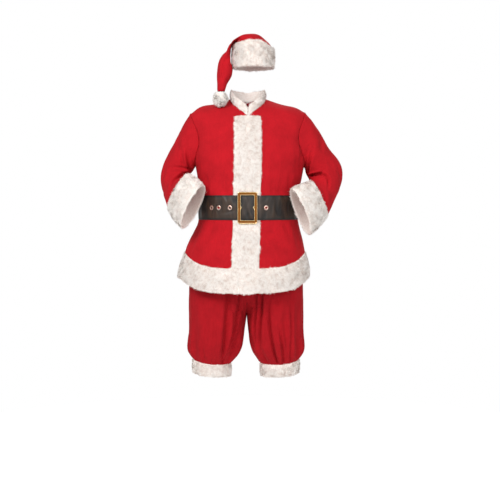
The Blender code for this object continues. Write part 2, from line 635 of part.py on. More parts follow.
def drill(strap, number, place, turn):
    """Cut an eyelet's hole through the strap."""
    bm = bmesh.new()
    bmesh.ops.create_cone(bm, cap_ends=True, segments=16, radius1=EYELET_HOLE_R, radius2=EYELET_HOLE_R, depth=0.03)
    bm.transform(turn)
    bmesh.ops.translate(bm, verts=bm.verts, vec=place)
    cutter = add_object(f"eyelet_cutter_{number}", bm, "black_leatherette")
    cutter.hide_render = True
    cutter.display_type = "WIRE"
    modifier = strap.modifiers.new(f"eyelet_hole_{number}", "BOOLEAN")
    modifier.operation = "DIFFERENCE"
    modifier.solver = "EXACT"
    modifier.object = cutter


def build_eyelet(number, place, turn):
    """A flat metal ring that lies on the strap round its hole."""
    middle = (EYELET_HOLE_R + EYELET_RIM_R) / 2
    profile = (
        (EYELET_HOLE_R, 0.0),
        (EYELET_RIM_R, 0.0),
        (EYELET_RIM_R, EYELET_THICK * 0.4),
        (middle, EYELET_THICK),
        (EYELET_HOLE_R, EYELET_THICK * 0.6),
    )
    segments = 20
    rings = []
    bm = bmesh.new()
    for radius, height in profile:
        angles = (2 * math.pi * n / segments for n in range(segments))
        rings.append([bm.verts.new((radius * math.cos(a), radius * math.sin(a), height)) for a in angles])
    join_rings(bm, rings)
    bm.transform(turn)
    bmesh.ops.translate(bm, verts=bm.verts, vec=place)
    add_object(f"belt_eyelet_{number}", bm, "antique_gold", 35)


def join_rings(bm, rings):
    """Close a tube of quads over rings of vertices, the last ring joined to the first."""
    for ring, following in zip(rings, rings[1:] + rings[:1]):
        for n, vert in enumerate(ring):
            m = (n + 1) % len(ring)
            bm.faces.new((vert, following[n], following[m], ring[m]))
    bmesh.ops.recalc_face_normals(bm, faces=bm.faces)


def frame_loop(inset, height, pointed, place):
    """A rounded rectangle parallel to the buckle's outline, facing -Y, whose sides may come to a point inwards."""
    half_width = BUCKLE_WIDTH / 2 - inset
    half_height = BUCKLE_HEIGHT / 2 - inset
    radius = max(0.0015, 0.007 - inset * 0.4)
    points = []
    for corner in range(4):
        sign_x, sign_z = ((1, 1), (-1, 1), (-1, -1), (1, -1))[corner]
        for step in range(4):
            angle = math.pi / 2 * (corner + step / 3)
            x = sign_x * (half_width - radius) + radius * math.cos(angle)
            z = sign_z * (half_height - radius) + radius * math.sin(angle)
            points.append((x, z))
        if corner in (1, 3):
            along = 1 if corner == 1 else -1
            for z, bulge in ((0.0075, 0.0), (0.0, BUCKLE_POINT if pointed else 0.0), (-0.0075, 0.0)):
                points.append((sign_x * (half_width - bulge), z * along))
    return [Vector((x, -height, z)) + place for x, z in points]


def build_buckle(place):
    """A rectangular frame with a raised rim, a sunk channel and a raised inner rim."""
    profile = (
        (0.0000, 0.0, False),
        (0.0000, BUCKLE_THICK * 0.70, False),
        (0.0018, BUCKLE_THICK, False),
        (0.0042, BUCKLE_THICK * 0.72, False),
        (0.0096, BUCKLE_THICK * 0.62, False),
        (0.0118, BUCKLE_THICK * 0.95, True),
        (BUCKLE_BAR, BUCKLE_THICK * 0.60, True),
        (BUCKLE_BAR, 0.0, True),
    )
    bm = bmesh.new()
    rings = [[bm.verts.new(p) for p in frame_loop(inset, high, pointed, place)] for inset, high, pointed in profile]
    join_rings(bm, rings)
    add_object("belt_buckle", bm, "antique_gold", 35)


# Trousers

def leg_grid(table, side):
    """Rows of points round a leg, from the inseam by the front and the outside back to the inseam."""
    rows = []
    for level in steps_of(LEG_STEPS):
        row = spline(table, level)
        opened = max(0.0, min(1.0, row.open))
        half = (row.outer - row.inner) / (2 - opened)
        line = []
        for n in range(LEG_COLUMNS + 1):
            share = n / LEG_COLUMNS
            closed_turn = 2 * math.pi * share
            open_turn = math.pi / 2 + math.pi * share
            closed_x = (row.outer + row.inner) / 2 - (row.outer - row.inner) / 2 * math.cos(closed_turn)
            open_x = row.inner - (row.outer - row.inner) * math.cos(open_turn)
            closed_y, open_y = -math.sin(closed_turn), -math.sin(open_turn)
            across = closed_y + (open_y - closed_y) * opened
            depth = row.front if across < 0 else row.back
            unevenness = 1 + 0.35 * math.sin(3 * closed_turn + side) + 0.2 * math.sin(5 * closed_turn)
            phase = GATHERS * closed_turn + 0.5 * math.sin(2 * closed_turn + side)
            wave = row.wave * unevenness * math.cos(phase) * (1 - opened * (1 - math.sin(math.pi * share)))
            centre = Vector(((row.outer + row.inner) / 2, row.y, row.z))
            point = Vector((closed_x + (open_x - closed_x) * opened, row.y + across * depth, row.z))
            line.append(pushed(point, centre, wave))
        if opened == 0:
            line[-1] = line[0].copy()
        rows.append(line)
    return rows


def build_leg(table, side, word):
    """A trouser leg gathered at its end, and the fur cuff round it below the knee."""
    whole, = skin([leg_grid(table, side)])
    plane = (CROTCH_X, side)
    wall(f"trouser_leg_{word}", [whole], "red_velour", plane=plane)
    lift = CLOTH + GAP
    wall(f"knee_fur_{word}", [cut(whole, slice(0, KNEE_STEPS + 1))], "white_fur", lift, lift + FUR, lift + FUR_EDGE)


def build_waistband(torso):
    """The trousers' elastic waistband, just inside the jacket behind the belt."""
    height = BELT_TOP - BELT_BOTTOM
    shares = [(z - BELT_BOTTOM) / height for z in (WAISTBAND_BOTTOM, WAISTBAND_TOP)]
    strips = [between(torso[quarter], BELT_ROW, *shares) for quarter in QUARTERS]
    wall("trouser_waistband", strips, "elastic", -GAP - WAISTBAND_THICK, -GAP)


# Hat

def build_crown():
    rows = []
    for level in steps_of(HAT_STEPS):
        row = spline(HAT, level)
        middle = (loop_point(row, 0.0) + loop_point(row, 0.5)) / 2
        fade = max(0.0, min(1.0, level - 1, len(HAT) - 1 - level))
        line = []
        for n in range(HAT_COLUMNS):
            near = math.sin(2 * math.pi * n / HAT_COLUMNS)
            point = loop_point(row, n / HAT_COLUMNS)
            side = -1 if near > 0 else 1
            lift = fold_relief(HAT_FOLDS, side, point.x, point.z) * abs(near) ** 0.5 * fade
            line.append(pushed(point, middle, lift))
        rows.append(line + line[:1])
    wall("hat_crown", skin([rows]), "red_velour")


def build_brim():
    """The tall fur band, higher at the front and the back than at the sides."""
    rows = []
    for level in range(BRIM_ROWS + 1):
        share = level / BRIM_ROWS
        line = []
        for n in range(BRIM_COLUMNS):
            angle = 2 * math.pi * n / BRIM_COLUMNS
            near = -math.sin(angle)
            rise = (BRIM_RISE_FRONT if near < 0 else BRIM_RISE_BACK) * near * near
            x = BRIM_X + BRIM_HALF_WIDTH * math.cos(angle)
            y = BRIM_HALF_DEPTH * near
            line.append(Vector((x, y, BRIM_BOTTOM + (BRIM_TOP + rise - BRIM_BOTTOM) * share)))
        rows.append(line + line[:1])
    wall("hat_brim_fur", skin([rows]), "white_fur", 0.0, FUR, FUR_EDGE)


def build_pompom():
    bm = bmesh.new()
    bmesh.ops.create_uvsphere(bm, u_segments=16, v_segments=10, radius=POMPOM_R)
    bmesh.ops.translate(bm, verts=bm.verts, vec=POMPOM_CENTRE)
    add_object("hat_pompom", bm, "white_fur", 180)


def main():
    for obj in list(bpy.data.objects):
        bpy.data.objects.remove(obj, do_unlink=True)
    for name in COLOURS:
        make_material(name)
    torso = torso_skin()
    build_jacket(torso)
    build_sleeve(torso, -1, SLEEVE_RIGHT, SLEEVE_FOLDS_RIGHT, "right")
    build_sleeve(torso, 1, SLEEVE_LEFT, SLEEVE_FOLDS_LEFT, "left")
    build_belt(torso)
    build_leg(LEG_RIGHT, -1, "right")
    build_leg(LEG_LEFT, 1, "left")
    build_waistband(torso)
    build_crown()
    build_brim()
    build_pompom()


main()
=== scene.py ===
import math
from collections import namedtuple

import bmesh
import bpy
import numpy as np
from bpy.props import FloatProperty, FloatVectorProperty, PointerProperty
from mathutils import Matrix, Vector
from mathutils.bvhtree import BVHTree
from mathutils.kdtree import KDTree


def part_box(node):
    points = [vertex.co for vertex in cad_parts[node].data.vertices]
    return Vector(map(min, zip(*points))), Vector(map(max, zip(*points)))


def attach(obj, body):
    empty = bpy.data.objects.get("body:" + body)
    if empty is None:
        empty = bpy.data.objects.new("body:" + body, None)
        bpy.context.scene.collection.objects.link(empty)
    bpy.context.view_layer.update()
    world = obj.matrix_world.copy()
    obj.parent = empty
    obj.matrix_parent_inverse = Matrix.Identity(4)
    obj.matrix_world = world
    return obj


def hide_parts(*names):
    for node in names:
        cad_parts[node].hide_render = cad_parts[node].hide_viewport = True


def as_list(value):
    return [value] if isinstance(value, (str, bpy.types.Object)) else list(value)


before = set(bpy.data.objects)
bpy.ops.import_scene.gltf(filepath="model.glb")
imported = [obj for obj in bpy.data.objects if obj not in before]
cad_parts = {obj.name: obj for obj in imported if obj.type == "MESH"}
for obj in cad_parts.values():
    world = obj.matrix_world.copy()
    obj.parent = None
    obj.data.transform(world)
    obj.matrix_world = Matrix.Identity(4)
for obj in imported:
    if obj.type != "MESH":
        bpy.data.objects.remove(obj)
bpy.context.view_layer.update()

bl_info = {
    "name": "Santa suit dressing",
    "version": (1, 0, 0),
    "blender": (4, 5, 0),
    "location": "View3D > Sidebar > Suit",
    "description": "Dresses the cut pieces of the suit in velour, plush fur, leatherette and gilt metal",
    "category": "Object",
}

MM = 0.001
WELD = 0.002 * MM
RIPPLE_WAVES = 9

# What each sheet was cut to, in metres: the widest and longest way of the flat piece and its flat area.
Cut = namedtuple("Cut", "width length area held rests_on")
FRONTS = ("jacket_front_right", "jacket_front_left")
JACKET = FRONTS + ("jacket_back",)
LEGS = ("trouser_leg_right", "trouser_leg_left")
CUTS = {
    "jacket_front_right": Cut(0.37, 0.83, 0.247, "hung", ("jacket_back",)),
    "jacket_front_left": Cut(0.37, 0.83, 0.249, "hung", ("jacket_back",)),
    "jacket_back": Cut(0.68, 0.83, 0.48, "hung", FRONTS),
    "sleeve_right": Cut(0.48, 0.44, 0.136, "hung", ("jacket_back",)),
    "sleeve_left": Cut(0.5, 0.45, 0.149, "hung", ("jacket_back",)),
    "trouser_leg_right": Cut(0.78, 0.79, 0.47, "gathered", ("trouser_waistband",)),
    "trouser_leg_left": Cut(0.78, 0.79, 0.47, "gathered", ("trouser_waistband",)),
    "trouser_waistband": Cut(1.11, 0.046, 0.051, "stretched", LEGS),
    "hat_crown": Cut(0.56, 0.42, 0.099, "draped", ("hat_brim_fur",)),
    "placket_fur": Cut(0.111, 0.65, 0.071, "laid", FRONTS),
    "hem_fur": Cut(1.56, 0.106, 0.152, "laid", ("jacket_front_right", "jacket_back")),
    "cuff_fur_right": Cut(0.52, 0.135, 0.062, "laid", ("sleeve_right",)),
    "cuff_fur_left": Cut(0.52, 0.14, 0.064, "laid", ("sleeve_left",)),
    "collar_fur": Cut(0.47, 0.05, 0.02, "laid", ("jacket_back",)),
    "knee_fur_right": Cut(0.46, 0.054, 0.0245, "laid", ("trouser_leg_right",)),
    "knee_fur_left": Cut(0.46, 0.054, 0.0245, "laid", ("trouser_leg_left",)),
    "hat_brim_fur": Cut(0.62, 0.098, 0.058, "laid", ("hat_crown",)),
    "belt_strap": Cut(1.15, 0.103, 0.118, "stretched", ("jacket_front_right", "jacket_back")),
}

# How each piece of plush is laid: its random seed, the core that it is wrapped round, how finely it is
# smoothed, how far its locks lean and droop, and how far painted light lifts its tone.
Plush = namedtuple("Plush", "seed core levels lean droop pale")
PLUSH = {
    "placket_fur": Plush(61, "placket_fur", 2, 1.0, 1.1, 0.1),
    "hem_fur": Plush(67, "jacket", 2, 1.0, 0.5, 0.1),
    # The cuffs' tone is lifted most: painted light, as they turn away from the key light.
    "cuff_fur_right": Plush(71, "sleeve_right", 2, 1.0, 0.35, 0.5),
    "cuff_fur_left": Plush(73, "sleeve_left", 2, 1.0, 0.35, 0.5),
    "collar_fur": Plush(79, "neck", 2, 1.0, 0.35, 0.1),
    "knee_fur_right": Plush(83, "trouser_leg_right", 1, 0.8, 0.35, 0.0),
    "knee_fur_left": Plush(89, "trouser_leg_left", 1, 0.8, 0.35, 0.0),
    "hat_brim_fur": Plush(97, "brim", 1, 1.0, 0.35, 0.0),
}

# The middle line that each hollow piece is wrapped round, in metres; its cloth swells away from it.
CORES = {
    "jacket": ((-0.004, -0.008, 0.02), (-0.01, -0.012, -0.46), (-0.014, -0.004, -0.83)),
    "placket_fur": ((-0.004, 1.5, 0.02), (-0.008, 1.5, -0.83)),
    "sleeve_right": (
        (-0.2, 0.004, -0.12), (-0.27, 0.012, -0.21), (-0.316, 0.014, -0.322), (-0.3, -0.026, -0.392),
        (-0.232, -0.152, -0.458),
    ),
    "sleeve_left": (
        (0.2, 0.004, -0.12), (0.278, 0.012, -0.215), (0.324, 0.014, -0.33), (0.308, -0.026, -0.4),
        (0.236, -0.152, -0.48),
    ),
    "trouser_leg_right": ((-0.088, -0.004, -0.48), (-0.12, -0.004, -0.85), (-0.156, 0.004, -1.19)),
    "trouser_leg_left": ((0.07, -0.004, -0.48), (0.102, -0.004, -0.85), (0.138, 0.004, -1.19)),
    "hat": (
        (0.0226, 0.0, 0.12), (0.02, 0.002, 0.215), (-0.02, 0.004, 0.232), (-0.074, 0.002, 0.2),
        (-0.1, -0.008, 0.15), (-0.108, -0.034, 0.08), (-0.115, -0.054, 0.024),
    ),
    "brim": ((0.0226, 0.0, 0.05), (0.0226, 0.0, 0.3)),
    "neck": ((0.0, -0.008, -0.09), (0.0, 0.012, 0.06)),
}

# Creases listed by the piece and the side that they show on, in millimetres. Each runs from a
# start by a bend to an end, across and up in that side's flat view. Then come its half width, its depth,
# which is below zero for a trough and above it for a ridge, and the shares of its length over which it
# swells in and out.
CREASES = {
    ("jacket", "front"): (
        # The armhole drag: two deep lines falling into each underarm.
        (-240, -150, -232, -222, -229, -302, 10, -11, 0.75, 0.05),
        (-206, -190, -214, -250, -216, -318, 11, -5, 0.6, 0.2),
        (240, -130, 226, -230, 222, -312, 9, -10, 0.7, 0.05),
        (206, -200, 208, -262, 206, -330, 11, -4.6, 0.6, 0.2),
        # Slack across the chest and from the shoulders.
        (-178, -98, -142, -190, -128, -300, 24, -3, 0.5, 0.6),
        (-96, -300, -120, -350, -170, -384, 16, -3, 0.5, 0.45),
        (116, -230, 110, -310, 104, -404, 12, -4.2, 0.6, 0.1),
        (84, -210, 74, -270, 64, -340, 12, -3.4, 0.5, 0.45),
        (186, -300, 176, -345, 172, -398, 11, -4, 0.5, 0.2),
        (-186, -305, -172, -352, -168, -398, 11, -4, 0.5, 0.2),
        # Cinched in by the strap, above it and below it.
        (-108, -350, -104, -376, -102, -404, 9, -3.6, 0.55, 0.1),
        (136, -350, 132, -378, 130, -404, 9, -3.6, 0.55, 0.1),
        (-70, -610, -112, -672, -160, -694, 15, -6, 0.5, 0.5),
        (-150, -520, -164, -580, -190, -650, 18, -4.4, 0.1, 0.6),
        (-200, -520, -226, -590, -262, -690, 15, -6.4, 0.1, 0.4),
        (-96, -520, -104, -556, -116, -600, 12, -3.6, 0.1, 0.6),
        (60, -560, 128, -614, 196, -664, 16, -6.4, 0.4, 0.5),
        (58, -640, 96, -680, 140, -704, 14, -4.8, 0.3, 0.5),
        (150, -520, 166, -560, 186, -600, 14, -4.4, 0.1, 0.6),
        (188, -520, 210, -590, 228, -690, 14, -5.4, 0.1, 0.5),
    ),
    ("jacket", "back"): (
        (-256, -150, -240, -230, -214, -312, 12, -9, 0.6, 0.1),
        (254, -155, 240, -232, 216, -314, 12, -9, 0.6, 0.1),
        (-20, -120, -32, -240, -28, -380, 24, -3.6, 0.5, 0.4),
        (74, -150, 64, -262, 70, -396, 22, -4.6, 0.5, 0.2),
        (-116, -180, -104, -280, -112, -398, 22, -5, 0.5, 0.2),
        (150, -262, 142, -330, 138, -402, 14, -5, 0.5, 0.1),
        (-170, -282, -160, -345, -156, -402, 13, -4.6, 0.5, 0.1),
        (20, -290, 16, -350, 18, -404, 12, -4.4, 0.5, 0.1),
        (-62, -320, -66, -366, -64, -404, 10, -4, 0.5, 0.1),
        (-140, -520, -160, -590, -186, -700, 18, -6.4, 0.1, 0.5),
        (-76, -520, -86, -600, -94, -740, 16, -5.6, 0.1, 0.5),
        (-12, -520, -8, -590, -14, -700, 15, -4.4, 0.1, 0.55),
        (46, -520, 56, -610, 68, -740, 17, -6, 0.1, 0.5),
        (108, -520, 128, -590, 150, -690, 16, -5.2, 0.1, 0.5),
        (164, -520, 186, -580, 214, -670, 15, -5, 0.1, 0.5),
    ),
    ("sleeve_right", "front"): (
        # Lines that spring from the crook of the elbow and run out over the sleeve.
        (-236, -306, -290, -292, -374, -294, 8, -7.4, 0.05, 0.9),
        (-244, -314, -276, -322, -306, -334, 9, -12, 0.05, 0.6),
        (-270, -322, -314, -346, -332, -392, 8, -12, 0.15, 0.45),
        (-300, -352, -330, -398, -340, -446, 10, -6, 0.3, 0.45),
        (-248, -304, -256, -252, -262, -196, 9, -13, 0.05, 0.8),
        (-270, -296, -280, -240, -276, -170, 11, -6.6, 0.2, 0.7),
        (-292, -140, -296, -190, -290, -250, 14, -4, 0.5, 0.4),
    ),
    ("sleeve_right", "back"): (
        (-246, -300, -290, -300, -350, -270, 11, -6, 0.1, 0.6),
        (-252, -318, -300, -336, -366, -340, 11, -6.4, 0.1, 0.55),
        (-264, -335, -304, -372, -342, -420, 10, -5.6, 0.1, 0.5),
        (-256, -280, -280, -230, -290, -160, 12, -5, 0.15, 0.6),
    ),
    ("sleeve_right", "right"): (
        (0, -250, -10, -310, 10, -380, 14, -3.6, 0.5, 0.5),
        (40, -350, 12, -392, -40, -420, 12, -4, 0.5, 0.5),
    ),
    ("sleeve_left", "front"): (
        (250, -330, 296, -320, 332, -302, 8, -11, 0.05, 0.6),
        (254, -332, 330, -326, 338, -394, 8, -13, 0.05, 0.4),
        (300, -372, 326, -410, 318, -450, 10, -5.6, 0.4, 0.4),
        (252, -332, 258, -270, 284, -190, 10, -14, 0.05, 0.8),
        (238, -322, 244, -260, 256, -190, 9, -8, 0.1, 0.7),
        (306, -140, 312, -186, 318, -250, 14, -5, 0.5, 0.5),
        (330, -262, 352, -276, 366, -300, 12, -3.4, 0.5, 0.5),
    ),
    ("sleeve_left", "back"): (
        (248, -312, 300, -306, 356, -280, 11, -6.2, 0.1, 0.6),
        (254, -328, 306, -346, 366, -352, 11, -6, 0.1, 0.55),
        (266, -344, 310, -386, 342, -440, 10, -5.6, 0.1, 0.5),
        (258, -292, 286, -240, 300, -170, 12, -5, 0.15, 0.6),
    ),
    ("sleeve_left", "left"): (
        (0, -260, -8, -320, 14, -392, 14, -3.6, 0.5, 0.5),
        (42, -360, 14, -402, -36, -436, 12, -4, 0.5, 0.5),
    ),
    ("trouser_leg_right", "front"): (
        # Long folds that hang from the crotch and are gathered in at the inner side of the knee band.
        (-83, -800, -91, -960, -110, -1134, 13, -15, 0.1, 0.02),
        (-28, -800, -58, -985, -107, -1134, 7.5, -17, 0.05, 0.02),
        (-30, -970, -64, -1050, -96, -1134, 7.5, -13, 0.5, 0.02),
        (-54, -820, -68, -920, -88, -1050, 13, 5, 0.3, 0.4),
        (-128, -850, -138, -985, -142, -1134, 20, -6, 0.5, 0.05),
        (-160, -900, -178, -1000, -200, -1090, 18, -5, 0.5, 0.3),
        (-196, -1000, -196, -1070, -178, -1132, 12, -6, 0.5, 0.05),
    ),
    ("trouser_leg_right", "back"): (
        (-30, -830, -60, -980, -94, -1130, 11, -9, 0.3, 0.05),
        (-70, -870, -104, -1000, -122, -1130, 12, -7.4, 0.4, 0.05),
        (-130, -900, -146, -1010, -150, -1130, 12, -6, 0.5, 0.05),
        (-186, -930, -196, -1030, -180, -1128, 12, -6, 0.5, 0.05),
    ),
    ("trouser_leg_right", "right"): (
        (-40, -930, -34, -1020, -30, -1126, 12, -5.6, 0.5, 0.05),
        (34, -890, 36, -1000, 26, -1126, 12, -6, 0.5, 0.05),
    ),
    ("trouser_leg_left", "front"): (
        (58, -800, 52, -940, 42, -1090, 8, -18, 0.05, 0.4),
        (33, -805, 31, -930, 22, -1060, 8, -14, 0.1, 0.5),
        (90, -830, 94, -985, 130, -1134, 7.5, -15, 0.3, 0.02),
        (122, -930, 144, -1040, 150, -1134, 8, -13, 0.5, 0.02),
        (178, -820, 186, -990, 181, -1132, 9, -10, 0.4, 0.05),
        (74, -820, 76, -930, 88, -1060, 14, 6, 0.2, 0.5),
        (112, -820, 118, -880, 124, -960, 18, -6, 0.3, 0.6),
        (150, -860, 160, -960, 166, -1080, 18, -5, 0.5, 0.5),
        (60, -1060, 70, -1100, 86, -1134, 9, -8, 0.6, 0.02),
    ),
    ("trouser_leg_left", "back"): (
        (14, -830, 30, -980, 66, -1130, 11, -9, 0.3, 0.05),
        (66, -860, 86, -1000, 104, -1130, 12, -7.4, 0.4, 0.05),
        (120, -900, 134, -1010, 136, -1130, 12, -6, 0.5, 0.05),
        (176, -930, 186, -1030, 170, -1128, 12, -6, 0.5, 0.05),
    ),
    ("trouser_leg_left", "left"): (
        (-34, -900, -36, -1010, -28, -1126, 12, -6, 0.5, 0.05),
        (36, -930, 34, -1030, 28, -1126, 12, -5.4, 0.5, 0.05),
    ),
    ("hat", "front"): (
        # Where the crown tips over its brim and hangs down.
        (-60, 215, -86, 206, -118, 190, 8, -5.2, 0.15, 0.5),
        (-68, 232, -80, 236, -100, 232, 8, -3.8, 0.2, 0.5),
        (-84, 180, -104, 140, -108, 80, 10, -5, 0.3, 0.3),
        (-120, 160, -126, 120, -120, 70, 8, -3.6, 0.4, 0.3),
        (86, 244, 50, 252, 10, 262, 10, -4, 0.3, 0.5),
        (-40, 238, 0, 246, 30, 244, 9, -3.2, 0.4, 0.4),
    ),
    ("hat", "left"): (
        # Its hanging length is full, and bellies out to both sides.
        (-4, 206, -22, 140, -44, 60, 46, 14, 0.2, 0.3),
    ),
    ("hat", "right"): (
        (-4, 206, -22, 140, -44, 60, 46, 4, 0.2, 0.3),
    ),
    ("hat", "back"): (
        (-60, 216, -88, 204, -118, 182, 9, -5.2, 0.15, 0.5),
        (-86, 178, -106, 130, -110, 60, 10, -5, 0.3, 0.3),
        (84, 240, 40, 256, -10, 258, 10, -4.2, 0.3, 0.5),
    ),
}
CREASE_PARTS = 12  # straight stretches that stand for a crease's bend
VIEWS = {  # the two axes that each flat view is drawn in, and the way that it faces
    "front": ((0, 2), (0.0, -1.0, 0.0)),
    "back": ((0, 2), (0.0, 1.0, 0.0)),
    "right": ((1, 2), (-1.0, 0.0, 0.0)),
    "left": ((1, 2), (1.0, 0.0, 0.0)),
}

# Where the worn suit stands off its cut form: each row carries all that lies near its centre by its move,
# which fades over its reach, in metres.
Ease = namedtuple("Ease", "centre reach move")
EASES = (
    # The full caps of the sleeves round off both shoulders.
    Ease((-0.2, 0.004, -0.036), 0.046, (0.0, 0.0, 0.013)),
    Ease((-0.249, 0.004, -0.057), 0.022, (0.003, 0.0, -0.005)),
    Ease((0.206, 0.004, -0.038), 0.044, (0.0, 0.0, 0.009)),
    Ease((0.246, 0.004, -0.06), 0.022, (0.0, 0.0, -0.003)),
    # The knee bands ride higher on their outer side.
    Ease((-0.222, 0.0, -1.15), 0.075, (0.0, 0.0, 0.02)),
    Ease((0.212, 0.0, -1.15), 0.075, (0.0, 0.0, 0.018)),
    # The hem swings out on the right.
    Ease((-0.3, -0.02, -0.76), 0.06, (-0.009, 0.0, -0.004)),
    # The crown stands higher over its left side.
    Ease((0.05, 0.0, 0.29), 0.05, (0.008, 0.0, 0.005)),
)
# The brim's top edge dips on the left, front and back, and shows more of the crown.
BRIM_EASES = (
    Ease((0.098, -0.046, 0.238), 0.046, (0.0, 0.0, -0.013)),
    Ease((0.098, 0.046, 0.238), 0.046, (0.0, 0.0, -0.013)),
)

# The slit in the front of the hem: across and up at its top and its foot, how far each of its sides is
# drawn in, and over what breadth.
SLIT = ((-0.0393, -0.7136), (-0.0422, -0.8151))
SLIT_PULL = 0.75 * MM
SLIT_REACH = 9 * MM

# How smoothed points beside another piece are brought back: a seam narrower than SEAM is drawn to
# SEAM_GAP, and the rest is laid back on its solid, within SEAT_REACH of it. Both fade between their two
# gaps.
SEAM_GAP = 0.35 * MM
SEAM = (1.8 * MM, 2.8 * MM)
SEAT = (3 * MM, 10 * MM)
SEAT_REACH = 6 * MM

# The bands that gather the cloth: a height, and 1 for the cloth above it or -1 for the cloth below.
BELT_Z = (-0.5135, -0.4105)
BELT_MIDDLE = sum(BELT_Z) / 2
BELT_BANDS = ((BELT_Z[1], 1), (BELT_Z[0], -1))
LEG_BANDS = ((-1.134, 1), (-0.478, -1))

# The middle of the strap's ring, across and to the back, and the middle and half width of what shows of
# the strap inside the buckle.
STRAP_MIDDLE = (-0.002, -0.012)
BUCKLE_X = -0.002
BUCKLE_HALF = 0.027

# Across the buckle's bar: millimetres in from its outer edge, share of its thickness, and how worn.
BUCKLE_SECTION = (
    (0.0, 0.00, 0.6), (0.0, 0.62, 0.9), (0.5, 0.88, 1.0), (1.5, 1.00, 1.0), (2.5, 0.90, 0.9),
    (3.1, 0.66, 0.35), (3.7, 0.56, 0.05), (7.0, 0.50, 0.0), (10.3, 0.56, 0.05), (10.9, 0.66, 0.4),
    (11.4, 0.88, 0.9), (12.2, 1.00, 1.0), (13.2, 0.90, 1.0), (14.0, 0.60, 0.9), (14.0, 0.00, 0.6),
)
BUCKLE_BAR = 14 * MM
BUCKLE_CORNER = 8 * MM

# The lights: name, place and size in metres, and power in watts. All are aimed at the middle of the suit.
LIGHTS = (
    ("key", (-2.2, -3.6, 1.9), 1.8, 130),
    ("fill", (1.5, -3.9, 0.9), 2.2, 76),
    ("rim", (0.6, 3.4, 2.2), 2.4, 66),
)
LIT = (0.0, 0.0, -0.55)
FLOOR_RADIUS = 2.1

# Colours, as sRGB hex.
VELOUR_PILE = "#BF1823"
VELOUR_SHADE = "#9B121B"
VELOUR_BLOOM = "#FF6A66"
FUR_TIP = "#FFFAF5"
# Painted shade deep in the pile, mixed in towards the roots of the locks and at the rims of their tufts.
FUR_ROOT_PAINTED_SHADE = "#D0BDB2"
FUR_BACKING = "#E6D6CC"
LEATHER_FACE = "#38291E"
LEATHER_PAINTED_SHADE = "#0C0806"
GOLD_EDGE = "#FCE3B0"
GOLD_CHANNEL = "#8A5522"
BRASS_WASH = "#EFE4DC"
BRASS_BARE = "#D2977C"
ELASTIC_KNIT = "#2A2A2C"
ELASTIC_SHADE = "#161617"
FLOOR_PALE = "#F7F7F6"


def linear(code):
    """An sRGB hex colour as linear red, green, blue and alpha."""
    values = [int(code[k:k + 2], 16) / 255 for k in (1, 3, 5)]
    return [v / 12.92 if v <= 0.04045 else ((v + 0.055) / 1.055) ** 2.4 for v in values] + [1.0]


# Settings


def length(name, meaning, default, low, high):
    """A length among the settings, given in millimetres."""
    return FloatProperty(
        name=name, description=meaning, default=default * MM, min=low * MM, max=high * MM, unit="LENGTH",
    )


def tint(name, meaning, code):
    """A colour among the settings."""
    return FloatVectorProperty(
        name=name, description=meaning, subtype="COLOR", size=4, min=0, max=1, default=linear(code),
    )


def spot(name, meaning, default):
    """A place among the settings."""
    return FloatVectorProperty(
        name=name, description=meaning, subtype="XYZ", unit="LENGTH", size=3, default=default,
    )


class SuitCloth(bpy.types.PropertyGroup):
    """Sizes and colours of the velour."""

    pile: tint("Pile colour", "Face of the velour", VELOUR_PILE)
    shade: tint("Shade colour", "Where the nap is brushed the other way", VELOUR_SHADE)
    nap: length("Nap", "Spacing of the tufts of the nap", 1.3, 0.3, 6)
    unevenness: length("Unevenness", "How far the hanging cloth strays from a true surface", 1.7, 0, 6)
    gather: length("Gather", "Height of the small gathers beside bands and strap", 2.3, 0, 6)


class SuitFur(bpy.types.PropertyGroup):
    """Sizes and colours of the plush fur."""

    tip: tint("Tip colour", "Ends of the pile", FUR_TIP)
    # The root colour is painted shade deep in the pile.
    root: tint("Root colour", "Depth of the pile", FUR_ROOT_PAINTED_SHADE)
    density: FloatProperty(
        name="Density", description="Locks of pile in each square millimetre",
        default=0.30, min=0.02, max=0.6,
    )
    lock: length("Lock width", "Width of one lock of pile at its root", 1.35, 0.3, 4)
    tuft: length("Tuft", "Spacing of the tufts that the pile mats into", 11, 3, 40)
    base: FloatProperty(
        name="Base", description="Share of the trim's thickness that is backing and packed pile",
        default=0.42, subtype="FACTOR", min=0.1, max=0.9,
    )


class SuitBelt(bpy.types.PropertyGroup):
    """Sizes of the belt, its eyelets and its buckle."""

    strap: length("Strap thickness", "Thickness of the strap", 3.2, 1, 6)
    bar: length("Buckle bar", "Width of the buckle's bars", 14, 6, 25)
    point: length("Buckle point", "How far the small points stand in from the side bars", 4.5, 0, 8)
    scallop: length("Scallop", "Height of the beads along the buckle's lower edge", 3.4, 0, 4)
    eyelet: length("Eyelet", "Outside radius of an eyelet's rim", 9.8, 4, 16)
    hole: length("Eyelet hole", "Radius of the hole through an eyelet", 4.6, 1, 8)


class SuitStage(bpy.types.PropertyGroup):
    """The floor, the light and the camera."""

    floor: FloatProperty(
        name="Floor height", description="Height of the floor below the hanging suit", default=-1.64,
        unit="LENGTH", min=-3, max=0,
    )
    eye: spot("Camera", "Where the camera stands", (0.0086, -5.0, -0.425))
    aim: spot("Aim", "What the camera looks at", (0.0086, 0.0, -0.645))
    lens: FloatProperty(name="Lens", description="Focal length in millimetres", default=83.7, min=20, max=300)


class SuitSettings(bpy.types.PropertyGroup):
    """All that a user would change."""

    cloth: PointerProperty(type=SuitCloth)
    fur: PointerProperty(type=SuitFur)
    belt: PointerProperty(type=SuitBelt)
    stage: PointerProperty(type=SuitStage)


# Materials


